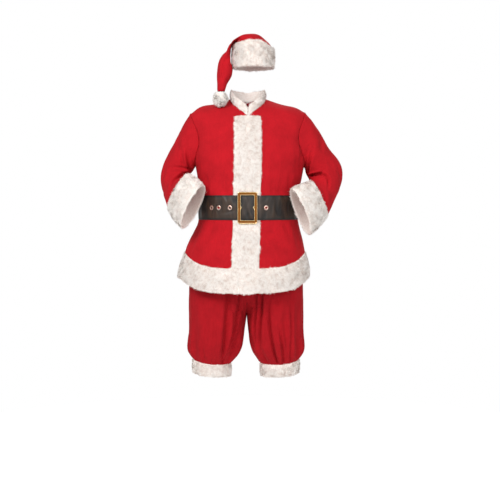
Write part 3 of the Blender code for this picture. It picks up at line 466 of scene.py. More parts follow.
def add(tree, kind, inputs=(), **settings):
    """Adds one shader node: settings are its own; inputs fill or feed its sockets, by name or in order."""
    node = tree.nodes.new("ShaderNode" + kind)
    for key, value in settings.items():
        setattr(node, key, value)
    for socket, value in (inputs.items() if isinstance(inputs, dict) else enumerate(inputs)):
        if isinstance(value, bpy.types.Node):
            value = value.outputs[0]
        if isinstance(value, bpy.types.NodeSocket):
            tree.links.new(value, node.inputs[socket])
        else:
            node.inputs[socket].default_value = value
    return node


def finish(name, shade, *values):
    """The material of that name; shade makes its shader the first time that it is asked for."""
    material = bpy.data.materials.get(name)
    if not material:
        material = bpy.data.materials.new(name)
        material.use_nodes = True
        tree = material.node_tree
        tree.nodes.clear()
        add(tree, "OutputMaterial", {"Surface": shade(tree, *values)})
    return material


def velour(tree, depth):
    """Red polyester velour, knitted and brushed: matt, deep in colour, a soft pale bloom where it turns away.

    Both its colours are darkened by the share depth: on the trousers this is painted shade, for legs that
    hang lower in the jacket's shadow.
    """
    cloth = bpy.context.scene.suit.cloth
    shade, pile = ([c * depth for c in colour[:3]] + [1.0] for colour in (cloth.shade, cloth.pile))
    place = add(tree, "TexCoord").outputs["Object"]
    # Hand-sized patches where the nap lies another way, drawn 60 mm across.
    patches = add(tree, "TexNoise", {"Vector": place, "Scale": 1 / 0.060, "Detail": 3.0, "Roughness": 0.5})
    # The nap, tufts 1.3 mm apart.
    nap = add(tree, "TexNoise", {"Vector": place, "Scale": 1 / cloth.nap, "Detail": 2.0, "Roughness": 0.6})
    # Brush marks 6 mm apart, stretched up and down the cloth.
    along = add(tree, "Mapping", {"Vector": place, "Scale": (1.0, 1.0, 0.22)})
    brushed = add(tree, "TexNoise", {"Vector": along, "Scale": 1 / 0.006, "Detail": 3.0})
    tone = 0.0
    for marks, weight in ((nap, 0.44), (patches, 0.38), (brushed, 0.18)):
        tone = add(tree, "Math", (marks, weight, tone), operation="MULTIPLY_ADD")
    share = add(tree, "MapRange", {"Value": tone, "From Min": 0.30, "From Max": 0.66})
    colour = add(tree, "Mix", {"Factor": share, "A": shade, "B": pile}, data_type="RGBA")
    relief = add(tree, "Math", (nap, 0.7, brushed), operation="MULTIPLY_ADD")
    bump = add(tree, "Bump", {"Height": relief, "Strength": 0.16, "Distance": 0.5 * MM})
    return add(tree, "BsdfPrincipled", {
        "Base Color": colour.outputs[2], "Normal": bump, "Roughness": 0.92, "IOR": 1.46,
        "Specular IOR Level": 0.14, "Sheen Weight": 0.08, "Sheen Roughness": 0.42,
        "Sheen Tint": linear(VELOUR_BLOOM),
    })


def plush_pile(tree):
    """White acrylic plush: fine glossy hair that scatters light, with painted shade towards its roots and at
    the rims of its tufts, and bright at its tips.
    """
    fur = bpy.context.scene.suit.fur
    place = add(tree, "TexCoord").outputs["Object"]
    pile = add(tree, "SeparateXYZ", (add(tree, "UVMap", uv_map="pile"),)).outputs
    # Mottling where the pile has matted, drawn 14 mm across.
    matted = add(tree, "TexNoise", {"Vector": place, "Scale": 1 / 0.014, "Detail": 4.0, "Roughness": 0.6})
    tone = add(tree, "Math", (matted, 0.7, -0.35), operation="MULTIPLY_ADD")
    # Painted shade: a lock is darker towards its root and at the rim of its tuft, where the locks shade each
    # other; its own tone also differs at random.
    for part, weight in ((pile["Y"], 0.55), (pile["X"], 0.75)):
        tone = add(tree, "Math", (part, weight, tone), operation="MULTIPLY_ADD")
    share = add(tree, "MapRange", {"Value": tone, "From Min": 0.05, "From Max": 1.10})
    colour = add(tree, "Mix", {"Factor": share, "A": list(fur.root), "B": list(fur.tip)}, data_type="RGBA")
    return add(tree, "BsdfPrincipled", {
        "Base Color": colour.outputs[2], "Roughness": 0.62, "IOR": 1.5, "Specular IOR Level": 0.22,
        "Sheen Weight": 0.25, "Sheen Roughness": 0.5,
    })


def plush_ground(tree):
    """The knitted backing and packed roots of the plush: cream, quite matt, tufted every few millimetres."""
    tip = list(bpy.context.scene.suit.fur.tip)
    place = add(tree, "TexCoord").outputs["Object"]
    tufts = add(tree, "TexNoise", {"Vector": place, "Scale": 1 / 0.004, "Detail": 4.0, "Roughness": 0.65})
    share = add(tree, "MapRange", {"Value": tufts, "From Min": 0.35, "From Max": 0.65})
    colour = add(tree, "Mix", {"Factor": share, "A": linear(FUR_BACKING), "B": tip}, data_type="RGBA")
    bump = add(tree, "Bump", {"Height": tufts, "Strength": 0.6, "Distance": 1.5 * MM})
    return add(tree, "BsdfPrincipled", {
        "Base Color": colour.outputs[2], "Normal": bump, "Roughness": 0.9, "IOR": 1.5,
        "Specular IOR Level": 0.15, "Sheen Weight": 0.2, "Sheen Roughness": 0.5,
    })


def leatherette(tree):
    """Black PVC leatherette with an embossed grain: brown-black and half glossy, browner and glossier on the
    crests of its slow waves, with painted shade: black in their troughs and along its turned edges.
    """
    place = add(tree, "TexCoord").outputs["Object"]
    # Embossed pebble grain, 1.6 mm across.
    grain = add(tree, "TexVoronoi", {"Vector": place, "Scale": 1 / 0.0016, "Randomness": 1.0},
                feature="DISTANCE_TO_EDGE")
    # Slow waves where the strap has been bent, 30 mm apart, standing up and down.
    upright = add(tree, "Mapping", {"Vector": place, "Scale": (1.0, 1.0, 0.45)})
    waves = add(tree, "TexNoise", {"Vector": upright, "Scale": 1 / 0.030, "Detail": 1.5, "Distortion": 0.5})
    # Painted shade: the colour goes black in the wave troughs, where the bump sinks.
    rubbed = add(tree, "MapRange", {"Value": waves, "From Min": 0.34, "From Max": 0.66})
    # The turned edges, from 40 mm above and below the middle, get painted shade: there the colour stays black
    # and the leather rougher.
    height = add(tree, "SeparateXYZ", (place,)).outputs["Z"]
    off = add(tree, "Math", (height, BELT_MIDDLE), operation="SUBTRACT")
    off = add(tree, "Math", (off,), operation="ABSOLUTE")
    kept = add(tree, "MapRange",
               {"Value": off, "From Min": 40 * MM, "From Max": 48 * MM, "To Min": 1.0, "To Max": 0.0})
    rubbed = add(tree, "Math", (rubbed, kept), operation="MULTIPLY")
    colour = add(tree, "Mix", {"Factor": rubbed, "A": linear(LEATHER_PAINTED_SHADE), "B": linear(LEATHER_FACE)},
                 data_type="RGBA")
    rough = add(tree, "MapRange", {"Value": rubbed, "To Min": 0.56, "To Max": 0.40})
    fine = add(tree, "Bump", {"Height": grain, "Strength": 0.35, "Distance": 0.25 * MM})
    bump = add(tree, "Bump", {"Height": waves, "Normal": fine, "Strength": 0.8, "Distance": 6 * MM})
    return add(tree, "BsdfPrincipled", {
        "Base Color": colour.outputs[2], "Roughness": rough, "Normal": bump, "IOR": 1.52,
        "Specular IOR Level": 0.5,
    })


def antique_gold(tree):
    """Die-cast zinc plated antique gold: brown lacquer in its channel, bright where its edges are rubbed."""
    place = add(tree, "TexCoord").outputs["Object"]
    worn = add(tree, "Attribute", attribute_name="worn").outputs["Fac"]
    # Cloudy lacquer 5 mm across over a fine sand-cast skin of 0.8 mm.
    cloudy = add(tree, "TexNoise", {"Vector": place, "Scale": 1 / 0.005, "Detail": 4.0, "Roughness": 0.6})
    skin = add(tree, "TexNoise", {"Vector": place, "Scale": 1 / 0.0008, "Detail": 2.0})
    share = add(tree, "Math", (cloudy, 0.45, worn), operation="MULTIPLY_ADD")
    share = add(tree, "MapRange", {"Value": share, "From Min": 0.30, "From Max": 0.95})
    colour = add(tree, "Mix", {"Factor": share, "A": linear(GOLD_CHANNEL), "B": linear(GOLD_EDGE)},
                 data_type="RGBA")
    rough = add(tree, "MapRange", {"Value": share, "To Min": 0.46, "To Max": 0.24})
    bump = add(tree, "Bump", {"Height": skin, "Strength": 0.25, "Distance": 0.2 * MM})
    return add(tree, "BsdfPrincipled",
               {"Base Color": colour.outputs[2], "Roughness": rough, "Normal": bump, "Metallic": 1.0})


def pale_brass(tree):
    """Rolled eyelet brass with a thin pale wash: pinkish where the wash has gone, soft from handling."""
    place = add(tree, "TexCoord").outputs["Object"]
    # The wash is worn off in patches 3 mm across.
    patches = add(tree, "TexNoise", {"Vector": place, "Scale": 1 / 0.003, "Detail": 3.0})
    share = add(tree, "MapRange", {"Value": patches, "From Min": 0.38, "From Max": 0.62})
    colour = add(tree, "Mix", {"Factor": share, "A": linear(BRASS_BARE), "B": linear(BRASS_WASH)},
                 data_type="RGBA")
    rough = add(tree, "MapRange", {"Value": share, "To Min": 0.42, "To Max": 0.26})
    bump = add(tree, "Bump", {"Height": patches, "Strength": 0.12, "Distance": 0.1 * MM})
    return add(tree, "BsdfPrincipled",
               {"Base Color": colour.outputs[2], "Roughness": rough, "Normal": bump, "Metallic": 1.0})


def ribbed_elastic(tree):
    """Woven elastic: dull black polyester over rubber cords, with ribs 2.6 mm apart up and down the band."""
    place = add(tree, "TexCoord").outputs["Object"]
    # Cords run round the band, so the ribs are counted up it.
    ribs = add(tree, "TexWave",
               {"Vector": place, "Scale": math.tau / 20 / 0.0026, "Distortion": 0.6, "Detail": 1.0},
               bands_direction="Z").outputs["Fac"]
    colour = add(tree, "Mix", {"Factor": ribs, "A": linear(ELASTIC_SHADE), "B": linear(ELASTIC_KNIT)},
                 data_type="RGBA")
    bump = add(tree, "Bump", {"Height": ribs, "Strength": 0.7, "Distance": 0.5 * MM})
    return add(tree, "BsdfPrincipled", {
        "Base Color": colour.outputs[2], "Normal": bump, "Roughness": 0.8, "Specular IOR Level": 0.25,
        "Sheen Weight": 0.3, "Sheen Roughness": 0.5,
    })


def paper(tree):
    """A matt white paper sweep, lit from below: the camera sees it paler than the light it gives back."""
    lit = add(tree, "LightPath").outputs["Is Camera Ray"]
    glow = add(tree, "Math", (lit, 0.34), operation="MULTIPLY")
    return add(tree, "BsdfPrincipled", {
        "Base Color": linear(FLOOR_PALE), "Roughness": 0.95, "Specular IOR Level": 0.1,
        "Emission Color": (1, 1, 1, 1), "Emission Strength": glow,
    })


# Shapes


def linked(name, data):
    """A new object in the scene."""
    thing = bpy.data.objects.new(name, data)
    bpy.context.scene.collection.objects.link(thing)
    return thing


def mesh_from(form, name):
    """A form built point by point, turned into a mesh."""
    mesh = bpy.data.meshes.new(name)
    form.to_mesh(mesh)
    form.free()
    return mesh


def rows_of(items, field, kind=np.float32):
    """One field of all these items of a mesh, three numbers to a row."""
    values = np.empty(len(items) * 3, kind)
    items.foreach_get(field, values)
    return values.reshape(-1, 3)


def arrays(mesh):
    """The places and normals of a mesh's points."""
    return rows_of(mesh.vertices, "co").astype(float), rows_of(mesh.vertex_normals, "vector").astype(float)


def put(mesh, points):
    """Moves a mesh's points to these places."""
    mesh.vertices.foreach_set("co", points.astype(np.float32).ravel())
    mesh.update()


def unit(rows):
    """Each row made one long."""
    return rows / np.maximum(np.linalg.norm(rows, axis=1, keepdims=True), 1e-9)


def step(low, high, value):
    """0 below low, 1 above high, and smooth between."""
    t = np.clip((value - low) / (high - low), 0, 1)
    return t * t * (3 - 2 * t)


def nearest_on(line, points):
    """Each point's way off a bent line, how far that is, and how many stretches along the line."""
    line = np.array(line, float)
    off = np.zeros_like(points)
    far = np.full(len(points), 1e9)
    along = np.zeros(len(points))
    for k, (start, end) in enumerate(zip(line[:-1], line[1:])):
        run = end - start
        share = np.clip(((points - start) @ run) / (run @ run), 0, 1)
        here = points - (start + share[:, None] * run)
        length_here = np.linalg.norm(here, axis=1)
        nearer = length_here < far
        off[nearer], far[nearer], along[nearer] = here[nearer], length_here[nearer], (k + share)[nearer]
    return off, far, along


def away_from(core, points):
    """The way out from a piece's middle line at each point."""
    return unit(nearest_on(CORES[core], points)[0])


def ripple(points, size, seed):
    """An uneven wave of about that size over space, from -1 to 1, the same each time."""
    random = np.random.default_rng(seed)
    total = np.zeros(len(points))
    for _ in range(RIPPLE_WAVES):
        heading = random.normal(size=3)
        heading *= math.tau / (size * random.uniform(0.75, 1.6)) / np.linalg.norm(heading)
        total += np.sin(points @ heading + random.uniform(0, math.tau))
    return total / RIPPLE_WAVES ** 0.5 / 1.6


def new_piece(name, mesh, slot, material, *nodes):
    """Puts a mesh in the scene as a piece of the suit that stands for these cut solids."""
    piece = linked(name, mesh)
    mesh.materials.clear()
    mesh.materials.append(material)
    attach(piece, "root")
    if nodes:
        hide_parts(*nodes)
    return piece


def declare(piece, node):
    """Looks up the flat cut of a sheet and what it rests on; nothing more is done with them."""
    cut = CUTS[node]
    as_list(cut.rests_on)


def finer(node, levels, crisp):
    """A cut solid's form, welded, squared up and smoothed; crisp is how firmly its edges hold."""
    form = bmesh.new()
    form.from_mesh(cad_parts[node].data)
    bmesh.ops.remove_doubles(form, verts=form.verts, dist=WELD)
    bmesh.ops.join_triangles(
        form, faces=form.faces,
        angle_face_threshold=math.radians(48), angle_shape_threshold=math.radians(170),
    )
    held = form.edges.layers.float.new("crease_edge")
    for edge in form.edges:
        if edge.is_manifold and edge.calc_face_angle(0) > math.radians(52):
            edge[held] = crisp
    mesh = mesh_from(form, node)
    for layer in ("custom_normal", "sharp_face", "sharp_edge"):
        if layer in mesh.attributes:
            mesh.attributes.remove(mesh.attributes[layer])
    mesh.materials.clear()
    rough = linked("smoothing", mesh)
    smooth = rough.modifiers.new("Smooth", "SUBSURF")
    smooth.levels = smooth.render_levels = levels
    smooth.boundary_smooth = "PRESERVE_CORNERS"
    made = bpy.data.meshes.new_from_object(rough.evaluated_get(bpy.context.evaluated_depsgraph_get()))
    bpy.data.objects.remove(rough)
    for layer in ("crease_edge", "custom_normal"):
        if layer in made.attributes:
            made.attributes.remove(made.attributes[layer])
    made.shade_smooth()
    return made


def tree_of(nodes):
    """All of these cut solids as one tree to measure from."""
    points, faces = [], []
    for node in nodes:
        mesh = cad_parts[node].data
        first = len(points)
        points += [v.co.copy() for v in mesh.vertices]
        faces += [[first + k for k in p.vertices] for p in mesh.polygons]
    return BVHTree.FromPolygons(points, faces)


def seated(points, normals, node):
    """The points that smoothing drew off their solid, brought back beside other pieces to close the seams."""
    own = tree_of([node])
    near = tree_of([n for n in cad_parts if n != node])
    moved = points.copy()
    for k, (place, facing) in enumerate(zip(map(Vector, points.tolist()), map(Vector, normals.tolist()))):
        beside, _, _, gap = near.find_nearest(place)
        if gap > SEAT[1]:
            continue
        toward = beside - place
        if gap < SEAM[1] and toward.dot(facing) > 0.2 * gap:
            moved[k] += np.array(toward) * (max(0, 1 - SEAM_GAP / gap) * (1 - step(*SEAM, gap)))
            continue
        hits = [own.ray_cast(place, facing * side, SEAT_REACH) for side in (1, -1)]
        hits = [h for h in hits if h[0] and h[1].dot(facing) > 0.3]
        if hits:
            back = min(hits, key=lambda h: h[3])[0]
            moved[k] += (np.array(back) - points[k]) * (1 - step(*SEAT, gap))
    return moved


def held_back(points, away, push, others):
    """The push, less near other pieces: held soonest where it leads to them, and nothing where they touch."""
    near = tree_of(others)
    found = [near.find_nearest(p) for p in points.tolist()]
    gap = np.array([f[3] for f in found])
    beside = np.array([f[0] for f in found]) - points
    toward = (beside * away).sum(1) / np.maximum(gap, 1e-9) * np.sign(push)
    # It is free 4 mm off them, or 15 mm off where it leads towards them.
    free = (4 + 11 * step(-0.3, 0.3, toward)) * MM
    return push * step(0.8 * MM, free, gap)


def eased(points, eases=EASES):
    """The points carried by each row of eases that they lie near."""
    moved = points.copy()
    for ease in eases:
        far = np.linalg.norm(points - np.array(ease.centre), axis=1) / ease.reach
        moved += np.exp(-far ** 2)[:, None] * np.array(ease.move)
    return moved


def slit_closed(points):
    """The hem's band with the two sides of its front slit drawn together until they almost meet."""
    (top, high), (foot, low) = SLIT
    off = points[:, 0] - (top + (foot - top) * (points[:, 2] - high) / (low - high))
    pull = np.minimum(SLIT_PULL * np.exp(-(off / SLIT_REACH) ** 2), np.abs(off) * 0.85) * (points[:, 1] < 0)
    moved = points.copy()
    moved[:, 0] -= np.sign(off) * pull
    return moved


def creased(points, away, family):
    """How far the creases of a family of pieces push each point out."""
    moved = np.zeros(len(points))
    marks = np.linspace(0, 1, CREASE_PARTS + 1)
    for (owner, face), rows in CREASES.items():
        if owner != family:
            continue
        axes, facing = VIEWS[face]
        shows = step(0.05, 0.45, away @ np.array(facing))
        for row in rows:
            start, bend, end = np.array(row[:6]).reshape(3, 2) * MM
            width, depth, swell_in, swell_out = row[6] * MM, row[7] * MM, row[8], row[9]
            control = 2 * bend - (start + end) / 2
            line = [(1 - t) ** 2 * start + 2 * t * (1 - t) * control + t * t * end for t in marks]
            _, far, along = nearest_on(line, points[:, axes])
            along /= CREASE_PARTS
            strength = step(0, swell_in, along + 0.02) * step(0, swell_out, 1.02 - along)
            across = (far / width) ** 2
            moved += depth * (1 - 1.3 * across) * np.exp(-across) * strength * shows
    return moved


def gathered(points, core, ends, reach, count, seed):
    """Small gathers beside bands, fading within reach. ends: a band's height, and 1 above it or -1 below."""
    core = np.array(CORES[core])
    middle = np.stack([np.interp(-points[:, 2], -core[:, 2], core[:, k]) for k in (0, 1)], axis=1)
    turn = np.arctan2(points[:, 1] - middle[:, 1], points[:, 0] - middle[:, 0])
    random = np.random.default_rng(seed)
    wave = np.zeros(len(points))
    for share in (1.0, 0.63, 1.38):
        wave += np.sin(turn * round(count * share) + random.uniform(0, math.tau))
    wave *= 0.42 * (0.75 + 0.25 * np.sin(turn * 5 + random.uniform(0, math.tau)))
    strength = np.zeros(len(points))
    for height, side in ends:
        off = (points[:, 2] - height) * side
        strength = np.maximum(strength, np.where(off > -4 * MM, np.exp(-np.maximum(off, 0) / reach), 0))
    return wave * strength


def cloth_piece(node, group, family, levels, seed, bands=(), count=0, reach=0.045, lie="up", depth=1.0):
    """One cut panel as hanging velour: its solid's form, smoothed, with its creases and gathers laid in."""
    cloth = bpy.context.scene.suit.cloth
    mesh = finer(node, levels, 1.0)
    points = seated(*arrays(mesh), node)
    away = away_from(family, points)
    push = creased(points, away, family)
    push += cloth.unevenness * (0.75 * ripple(points, 0.105, seed) + 0.30 * ripple(points, 0.038, seed + 1))
    if bands:
        push += cloth.gather * gathered(points, family, bands, reach, count, seed + 2)
    push = held_back(points, away, push, [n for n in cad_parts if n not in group])
    put(mesh, eased(points + away * push[:, None]))
    # A depth below 1 darkens the velour as painted shade; lie only names the material.
    finished = finish(f"Polyester velour, brushed {lie}", velour, depth)
    declare(new_piece(node + "_velour", mesh, "red_velour", finished, node), node)


def pile_on(name, roots, out, height, seed, lean, droop, pale):
    """Locks of pile from these roots, each a bent blade of three triangles that leans with its tuft.

    out is the way out of the backing, height how far the pile may stand there, and pale lightens its tone:
    painted light that lifts its painted shade.
    """
    fur = bpy.context.scene.suit.fur
    random = np.random.default_rng(seed)
    many = len(roots)
    drift = np.stack([ripple(roots, fur.tuft * 2.6, seed + k) for k in range(3)], axis=1)
    loose = random.normal(size=(many, 3)) * 0.55
    lie = drift * 1.15 + loose + np.array([0.0, 0.0, -droop])
    lie -= out * (lie * out).sum(1, keepdims=True)
    spread = np.clip(np.linalg.norm(lie, axis=1), 0.15, 1.7) * lean
    lie = unit(lie)
    tall = np.maximum(height, 3.2 * MM) * random.uniform(0.75, 1.20, many)
    # One lock in eight is a long guard hair.
    tall *= np.where(random.uniform(size=many) < 0.125, 1.45, 1.0)
    reach = spread * (5.4 * MM + 0.60 * tall)
    tips = roots + out * tall[:, None] + lie * reach[:, None]
    # Tips close up towards the middle of their tuft, and the locks at its rim get painted shade in their
    # tone.
    picked = random.choice(many, max(4, int(many * 0.048)), replace=False)
    finder = KDTree(len(picked))
    for k, index in enumerate(picked):
        finder.insert(roots[index], k)
    finder.balance()
    tuft = picked[[finder.find(p)[1] for p in roots.tolist()]]
    tips += (tips[tuft] - tips) * random.uniform(0.05, 0.32, many)[:, None] * (lean > 0.5)
    apart = np.linalg.norm(roots - roots[tuft], axis=1)
    # pale lifts the tone: painted light that takes back some of the painted shade.
    tone = np.clip(1.20 + pale - 0.45 * apart / apart.mean() + random.uniform(-0.25, 0.25, many), 0, 1.3)
    run = tips - roots
    flat = np.cross(run, out)
    flat = unit(flat + 0.25 * random.normal(size=(many, 3)) * np.linalg.norm(flat, axis=1, keepdims=True))
    side = flat * (fur.lock * random.uniform(0.55, 1.15, many)[:, None]) / 2
    bend = roots + run * 0.55 + out * (0.10 * np.linalg.norm(run, axis=1))[:, None]
    points = np.stack(
        [roots - side, roots + side, bend + 0.64 * side, bend - 0.64 * side, tips], axis=1,
    ).reshape(-1, 3)
    blades = np.arange(many)[:, None] * 5
    faces = np.concatenate([blades + np.array(corners) for corners in ((0, 1, 2), (0, 2, 3), (3, 2, 4))])
    mesh = bpy.data.meshes.new(name)
    mesh.vertices.add(len(points))
    mesh.vertices.foreach_set("co", points.astype(np.float32).ravel())
    mesh.loops.add(faces.size)
    mesh.loops.foreach_set("vertex_index", faces.astype(np.int32).ravel())
    mesh.polygons.add(len(faces))
    mesh.polygons.foreach_set("loop_start", np.arange(0, faces.size, 3, dtype=np.int32))
    mesh.update(calc_edges=True)
    # Each blade's tone and how far up it a point stands, kept for the material.
    index = faces.ravel()
    up = np.tile([0.0, 0.0, 0.55, 0.55, 1.0], many)
    uv = np.stack([np.repeat(tone, 5)[index], up[index]], axis=1)
    mesh.uv_layers.new(name="pile").data.foreach_set("uv", uv.astype(np.float32).ravel())
    mesh.shade_smooth()
    blade = unit(np.cross(flat, run))
    blade *= np.sign((blade * out).sum(1, keepdims=True) + 1e-9)
    soft = unit(0.62 * out + 0.38 * blade)
    mesh.normals_split_custom_set_from_vertices(np.repeat(soft, 5, axis=0).tolist())
    return new_piece(name, mesh, "white_fur", finish("Acrylic plush fur, pile", plush_pile))


def roots_over(points, faces, many, seed):
    """Places spread evenly over these triangles: their corners, and each place's shares of them."""
    random = np.random.default_rng(seed)
    a, b, c = (points[faces[:, k]] for k in range(3))
    area = 0.5 * np.linalg.norm(np.cross(b - a, c - a), axis=1)
    ladder = np.cumsum(area)
    picked = np.searchsorted(ladder, random.uniform(0, ladder[-1], many))
    u, v = random.uniform(size=(2, many))
    over = u + v > 1
    u[over], v[over] = 1 - u[over], 1 - v[over]
    return faces[picked], np.stack([1 - u - v, u, v], axis=1)


def triangles_of(mesh):
    """A mesh's triangles: the corners and the normal of each."""
    mesh.calc_loop_triangles()
    corners = rows_of(mesh.loop_triangles, "vertices", np.int32)
    return corners, rows_of(mesh.loop_triangles, "normal").astype(float)


def fur_piece(node):
    """A strip of plush: a backing on its solid's inner face, and pile that stands up to its outer face."""
    fur = bpy.context.scene.suit.fur
    plush = PLUSH[node]
    name = node.replace("_fur", "_plush")
    mesh = finer(node, plush.levels, 0.8)
    points, normals = arrays(mesh)
    points = eased(slit_closed(points) if node == "hem_fur" else points)
    if node == "hat_brim_fur":
        points = eased(points, BRIM_EASES)
    faces, facing = triangles_of(mesh)
    outward = (facing * away_from(plush.core, points[faces].mean(axis=1))).sum(1)
    inner = outward < -0.30
    inner_points = np.zeros(len(points), bool)
    inner_points[faces[inner].ravel()] = True
    underside = BVHTree.FromPolygons(points.tolist(), faces[inner].tolist())
    seats = np.array([list(underside.find_nearest(p)[0]) for p in points.tolist()])
    rise = np.where(inner_points[:, None], 0.0, points - seats)
    tufted = 1 + 0.30 * ripple(points, fur.tuft * 1.3, plush.seed + 7)
    sunk = points - rise * (1 - fur.base * np.clip(tufted, 0.5, 1.5))[:, None]
    height = np.linalg.norm(points - sunk, axis=1)
    put(mesh, sunk)
    backing = new_piece(name, mesh, "white_fur", finish("Acrylic plush fur, backing", plush_ground), node)
    shown = faces[~inner]
    a, b, c = (sunk[shown[:, k]] for k in range(3))
    spread = np.linalg.norm(np.cross(b - a, c - a), axis=1).sum() / 2
    placed, _ = arrays(mesh)
    corners, shares = roots_over(placed, shown, int(spread * 1e6 * fur.density), plush.seed + 3)
    roots = (sunk[corners] * shares[:, :, None]).sum(1)
    out = unit((normals[corners] * shares[:, :, None]).sum(1))
    tall = (height[corners] * shares).sum(1)
    if node == "placket_fur":
        # Under the strap the pile is pressed flat into its backing.
        free = np.abs(roots[:, 2] - BELT_MIDDLE) > (BELT_Z[1] - BELT_Z[0]) / 2 - 3 * MM
        roots, out, tall = roots[free], out[free], tall[free]
    pile = pile_on(name + "_pile", roots, out, tall, plush.seed, plush.lean, plush.droop, plush.pale)
    declare(backing, node)


def ringed(name, count, rows, place):
    """A ring of count points, drawn out row by row to where place(turn share, row) puts it, then closed."""
    form = bmesh.new()
    bmesh.ops.create_circle(form, segments=count, radius=1.0)
    ring = sorted(form.verts, key=lambda v: math.atan2(v.co.y, v.co.x) % math.tau)
    first = edges = list(form.edges)
    for row in range(rows):
        if row:
            drawn = bmesh.ops.extrude_edge_only(form, edges=edges)["geom"]
            fresh = {item for item in drawn if isinstance(item, bmesh.types.BMVert)}
            edges = [item for item in drawn if isinstance(item, bmesh.types.BMEdge)
                     and all(v in fresh for v in item.verts)]
            ring = [next(e.other_vert(v) for e in v.link_edges if e.other_vert(v) in fresh) for v in ring]
        for k, vert in enumerate(ring):
            vert.co = place(k / count, row)
    bmesh.ops.bridge_loops(form, edges=first + edges)
    bmesh.ops.recalc_face_normals(form, faces=form.faces)
    mesh = mesh_from(form, name)
    mesh.shade_smooth()
    return mesh


def strap_line(count):
    """The strap's inner face all round it, as a row of places at its foot and one at its top."""
    inner = tree_of(["belt_strap"])
    rows = []
    for height in (BELT_Z[0] + 12 * MM, BELT_Z[1] - 12 * MM):
        middle = Vector((*STRAP_MIDDLE, height))
        reach = []
        for k in range(count):
            turn = math.tau * k / count
            hit = inner.ray_cast(middle, Vector((math.cos(turn), math.sin(turn), 0)))
            reach.append((hit[0] - middle).length if hit[0] else 0.0)
        reach = np.array(reach)
        met = reach > 0
        if met.sum() < count * 0.9:
            raise RuntimeError("the strap's inner face isn't where it should be")
        reach = np.interp(np.arange(count), np.flatnonzero(met), reach[met])
        for _ in range(2):
            reach = (np.roll(reach, 1) + 2 * reach + np.roll(reach, -1)) / 4
        rows.append(reach)
    return rows


def strap_bulge(across, height, mix):
    """How far the front of the strap stands out or in, in and beside the buckle."""
    if abs(across - BUCKLE_X) < BUCKLE_HALF:
        # Drawn in through the buckle, the strap puckers into a deep valley with a ridge on either side.
        inside = 1 - abs((across - BUCKLE_X) / BUCKLE_HALF) ** 4
        off = across - BUCKLE_X + 3 * MM + 3 * MM * math.sin(height * 90)
        valley = math.exp(-(off / (6.5 * MM)) ** 2)
        return inside * (2.4 - 3.8 * valley) * MM * min(1, mix * (1 - mix) * 7)
    # One slanting crease beside the buckle.
    run = min(1, max(0, (across + 0.106) / 0.050))
    off = math.hypot(across + 0.106 - 0.050 * run, height + 0.485 - 0.013 * run)
    return -1.5 * MM * math.exp(-(off / (5 * MM)) ** 2)


def punched(strap, middle, turned, radius):
    """The strap with a round hole cut through it."""
    drill = bmesh.new()
    bmesh.ops.create_cone(drill, cap_ends=True, segments=40, radius1=radius, radius2=radius, depth=30 * MM)
    for vert in drill.verts:
        vert.co = Vector(middle + turned @ np.array(vert.co))
    bmesh.ops.recalc_face_normals(drill, faces=drill.faces)
    cutter = linked("drill", mesh_from(drill, "drill"))
    punch = strap.modifiers.new("Punch", "BOOLEAN")
    punch.object, punch.operation, punch.solver = cutter, "DIFFERENCE", "EXACT"
    bpy.context.view_layer.update()
    cut = bpy.data.meshes.new_from_object(strap.evaluated_get(bpy.context.evaluated_depsgraph_get()))
    strap.modifiers.clear()
    strap.data = cut
    bpy.data.objects.remove(cutter)


def aimed(thing, place, at):
    """Stands a lamp or camera at a place and turns it to look at another."""
    thing.location = place
    thing.rotation_euler = (Vector(at) - thing.location).to_track_quat("-Z", "Y").to_euler()


# Operators


class SUIT_OT_jacket(bpy.types.Operator):
    """Hang the velour of the jacket's fronts and back"""

    bl_idname = "suit.jacket"
    bl_label = "Jacket velour"

    def execute(self, context):
        for node in JACKET:
            cloth_piece(node, JACKET, "jacket", 2, 11, bands=BELT_BANDS, count=34)
        return {"FINISHED"}


class SUIT_OT_sleeves(bpy.types.Operator):
    """Hang the velour of the sleeves, bent at the elbow"""

    bl_idname = "suit.sleeves"
    bl_label = "Sleeve velour"

    def execute(self, context):
        for seed, node in ((23, "sleeve_right"), (29, "sleeve_left")):
            cloth_piece(node, (node,), node, 3, seed)
        return {"FINISHED"}


class SUIT_OT_trousers(bpy.types.Operator):
    """Hang the gathered legs of the trousers and stretch their waistband"""

    bl_idname = "suit.trousers"
    bl_label = "Trousers"

    def execute(self, context):
        for seed, node in zip((37, 41), LEGS):
            # Painted shade: the legs' velour is darkened to 0.80, for legs that hang lower in the jacket's
            # shadow; the cloth is the same as the jacket's.
            cloth_piece(node, (node,), node, 2, seed, LEG_BANDS, 30, reach=0.055, lie="down", depth=0.80)
        mesh = finer("trouser_waistband", 2, 0.8)
        elastic = finish("Woven elastic, ribbed", ribbed_elastic)
        band = new_piece("waistband_elastic", mesh, "elastic", elastic, "trouser_waistband")
        declare(band, "trouser_waistband")
        return {"FINISHED"}


class SUIT_OT_hat(bpy.types.Operator):
    """Drape the hat's velour crown over its brim and down to the pompom"""

    bl_idname = "suit.hat"
    bl_label = "Hat crown"

    def execute(self, context):
        cloth_piece("hat_crown", ("hat_crown",), "hat", 2, 53)
        return {"FINISHED"}


class SUIT_OT_trim(bpy.types.Operator):
    """Lay the plush on the jacket: front strip, hem, cuffs and neckband"""

    bl_idname = "suit.trim"
    bl_label = "Jacket fur"

    def execute(self, context):
        for node in ("placket_fur", "hem_fur", "cuff_fur_right", "cuff_fur_left", "collar_fur"):
            fur_piece(node)
        return {"FINISHED"}


class SUIT_OT_knees(bpy.types.Operator):
    """Lay the plush bands round the trousers below the knee"""

    bl_idname = "suit.knees"
    bl_label = "Knee fur"

    def execute(self, context):
        for node in ("knee_fur_right", "knee_fur_left"):
            fur_piece(node)
        return {"FINISHED"}


